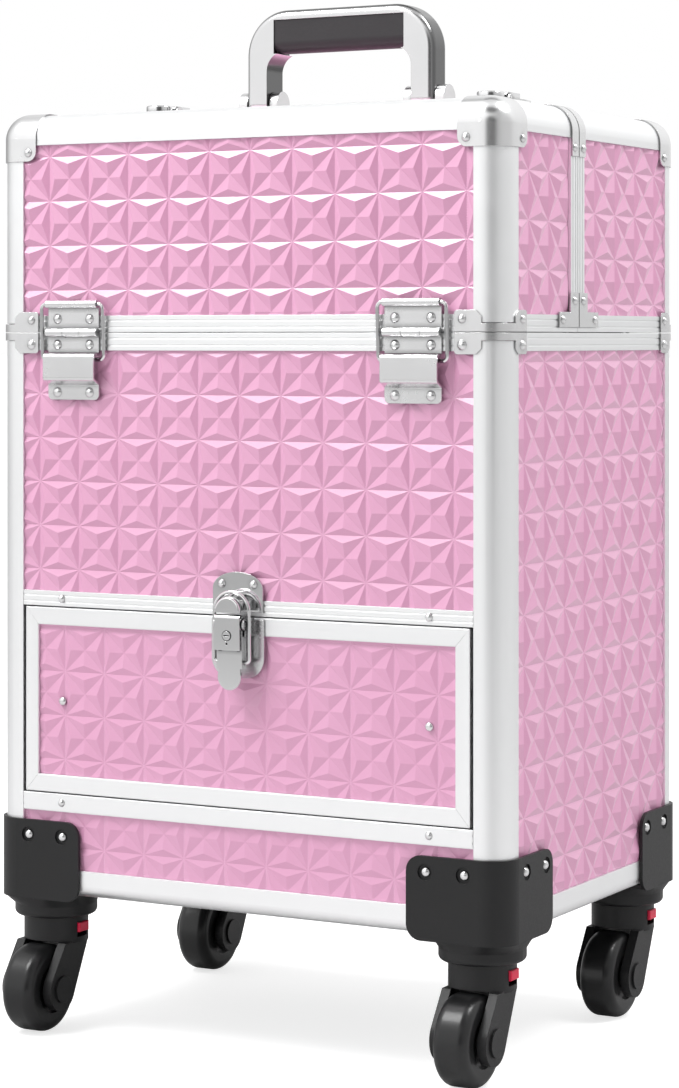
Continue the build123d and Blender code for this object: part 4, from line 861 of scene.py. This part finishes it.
def soft_box(name, azimuth, elevation, distance, width, height, watts):
    """A rectangular light aimed at the case's middle."""
    light = bpy.data.lights.new(name, "AREA")
    light.shape = "RECTANGLE"
    light.size = width
    light.size_y = height
    light.energy = watts
    lamp = bpy.data.objects.new(name, light)
    towards = direction(azimuth, elevation)
    lamp.location = AIM + towards * distance
    lamp.rotation_euler = towards.to_track_quat("Z", "Y").to_euler()
    bpy.context.scene.collection.objects.link(lamp)


def glow(tree, view, azimuth, elevation, start, full, amount):
    """A soft round area of the surroundings: amount at its middle, falling to 0 at its edge."""
    facing = tree.nodes.new("ShaderNodeVectorMath")
    facing.operation = "DOT_PRODUCT"
    facing.inputs[1].default_value = direction(azimuth, elevation)
    tree.links.new(view, facing.inputs[0])
    return soft_step(tree, facing.outputs["Value"], start, full, amount)


def studio_world():
    """A dim room with three bright walls and three dark cards. The camera itself sees plain white."""
    world = bpy.data.worlds.new("studio")
    bpy.context.scene.world = world
    world.use_nodes = True
    tree = world.node_tree
    background = tree.nodes["Background"]
    view = tree.nodes.new("ShaderNodeTexCoord").outputs["Generated"]
    level = ROOM_LIGHT
    for wall in BRIGHT_WALLS:
        level = math_node(tree, "ADD", glow(tree, view, *wall), level)
    for card in DARK_CARDS:
        passed = math_node(tree, "SUBTRACT", 1.0, glow(tree, view, *card))
        level = math_node(tree, "MULTIPLY", level, passed)
    eye = tree.nodes.new("ShaderNodeLightPath")
    shown = tree.nodes.new("ShaderNodeMix")
    shown.data_type = "FLOAT"
    tree.links.new(eye.outputs["Is Camera Ray"], shown.inputs["Factor"])
    tree.links.new(level, shown.inputs["A"])
    set_inputs(shown, B=1.0)
    tree.links.new(shown.outputs["Result"], background.inputs["Strength"])
    set_inputs(background, Color=(1, 1, 1, 1))


def camera():
    """Level with the middle of the case and seen from its front right, as in the photograph."""
    data = bpy.data.cameras.new("camera")
    data.sensor_width = 36.0
    data.lens = CAMERA_LENS
    data.shift_y = CAMERA_SHIFT
    data.clip_start = 0.05
    data.clip_end = 100.0
    eye = bpy.data.objects.new("camera", data)
    eye.location = CAMERA_PLACE
    eye.rotation_euler = (math.radians(90), 0, CAMERA_TURN)
    bpy.context.scene.collection.objects.link(eye)
    bpy.context.scene.camera = eye


floor()
studio_world()
for name, settings in SOFT_BOXES.items():
    soft_box(name, *settings)
camera()
bpy.context.scene.view_settings.view_transform = "Standard"
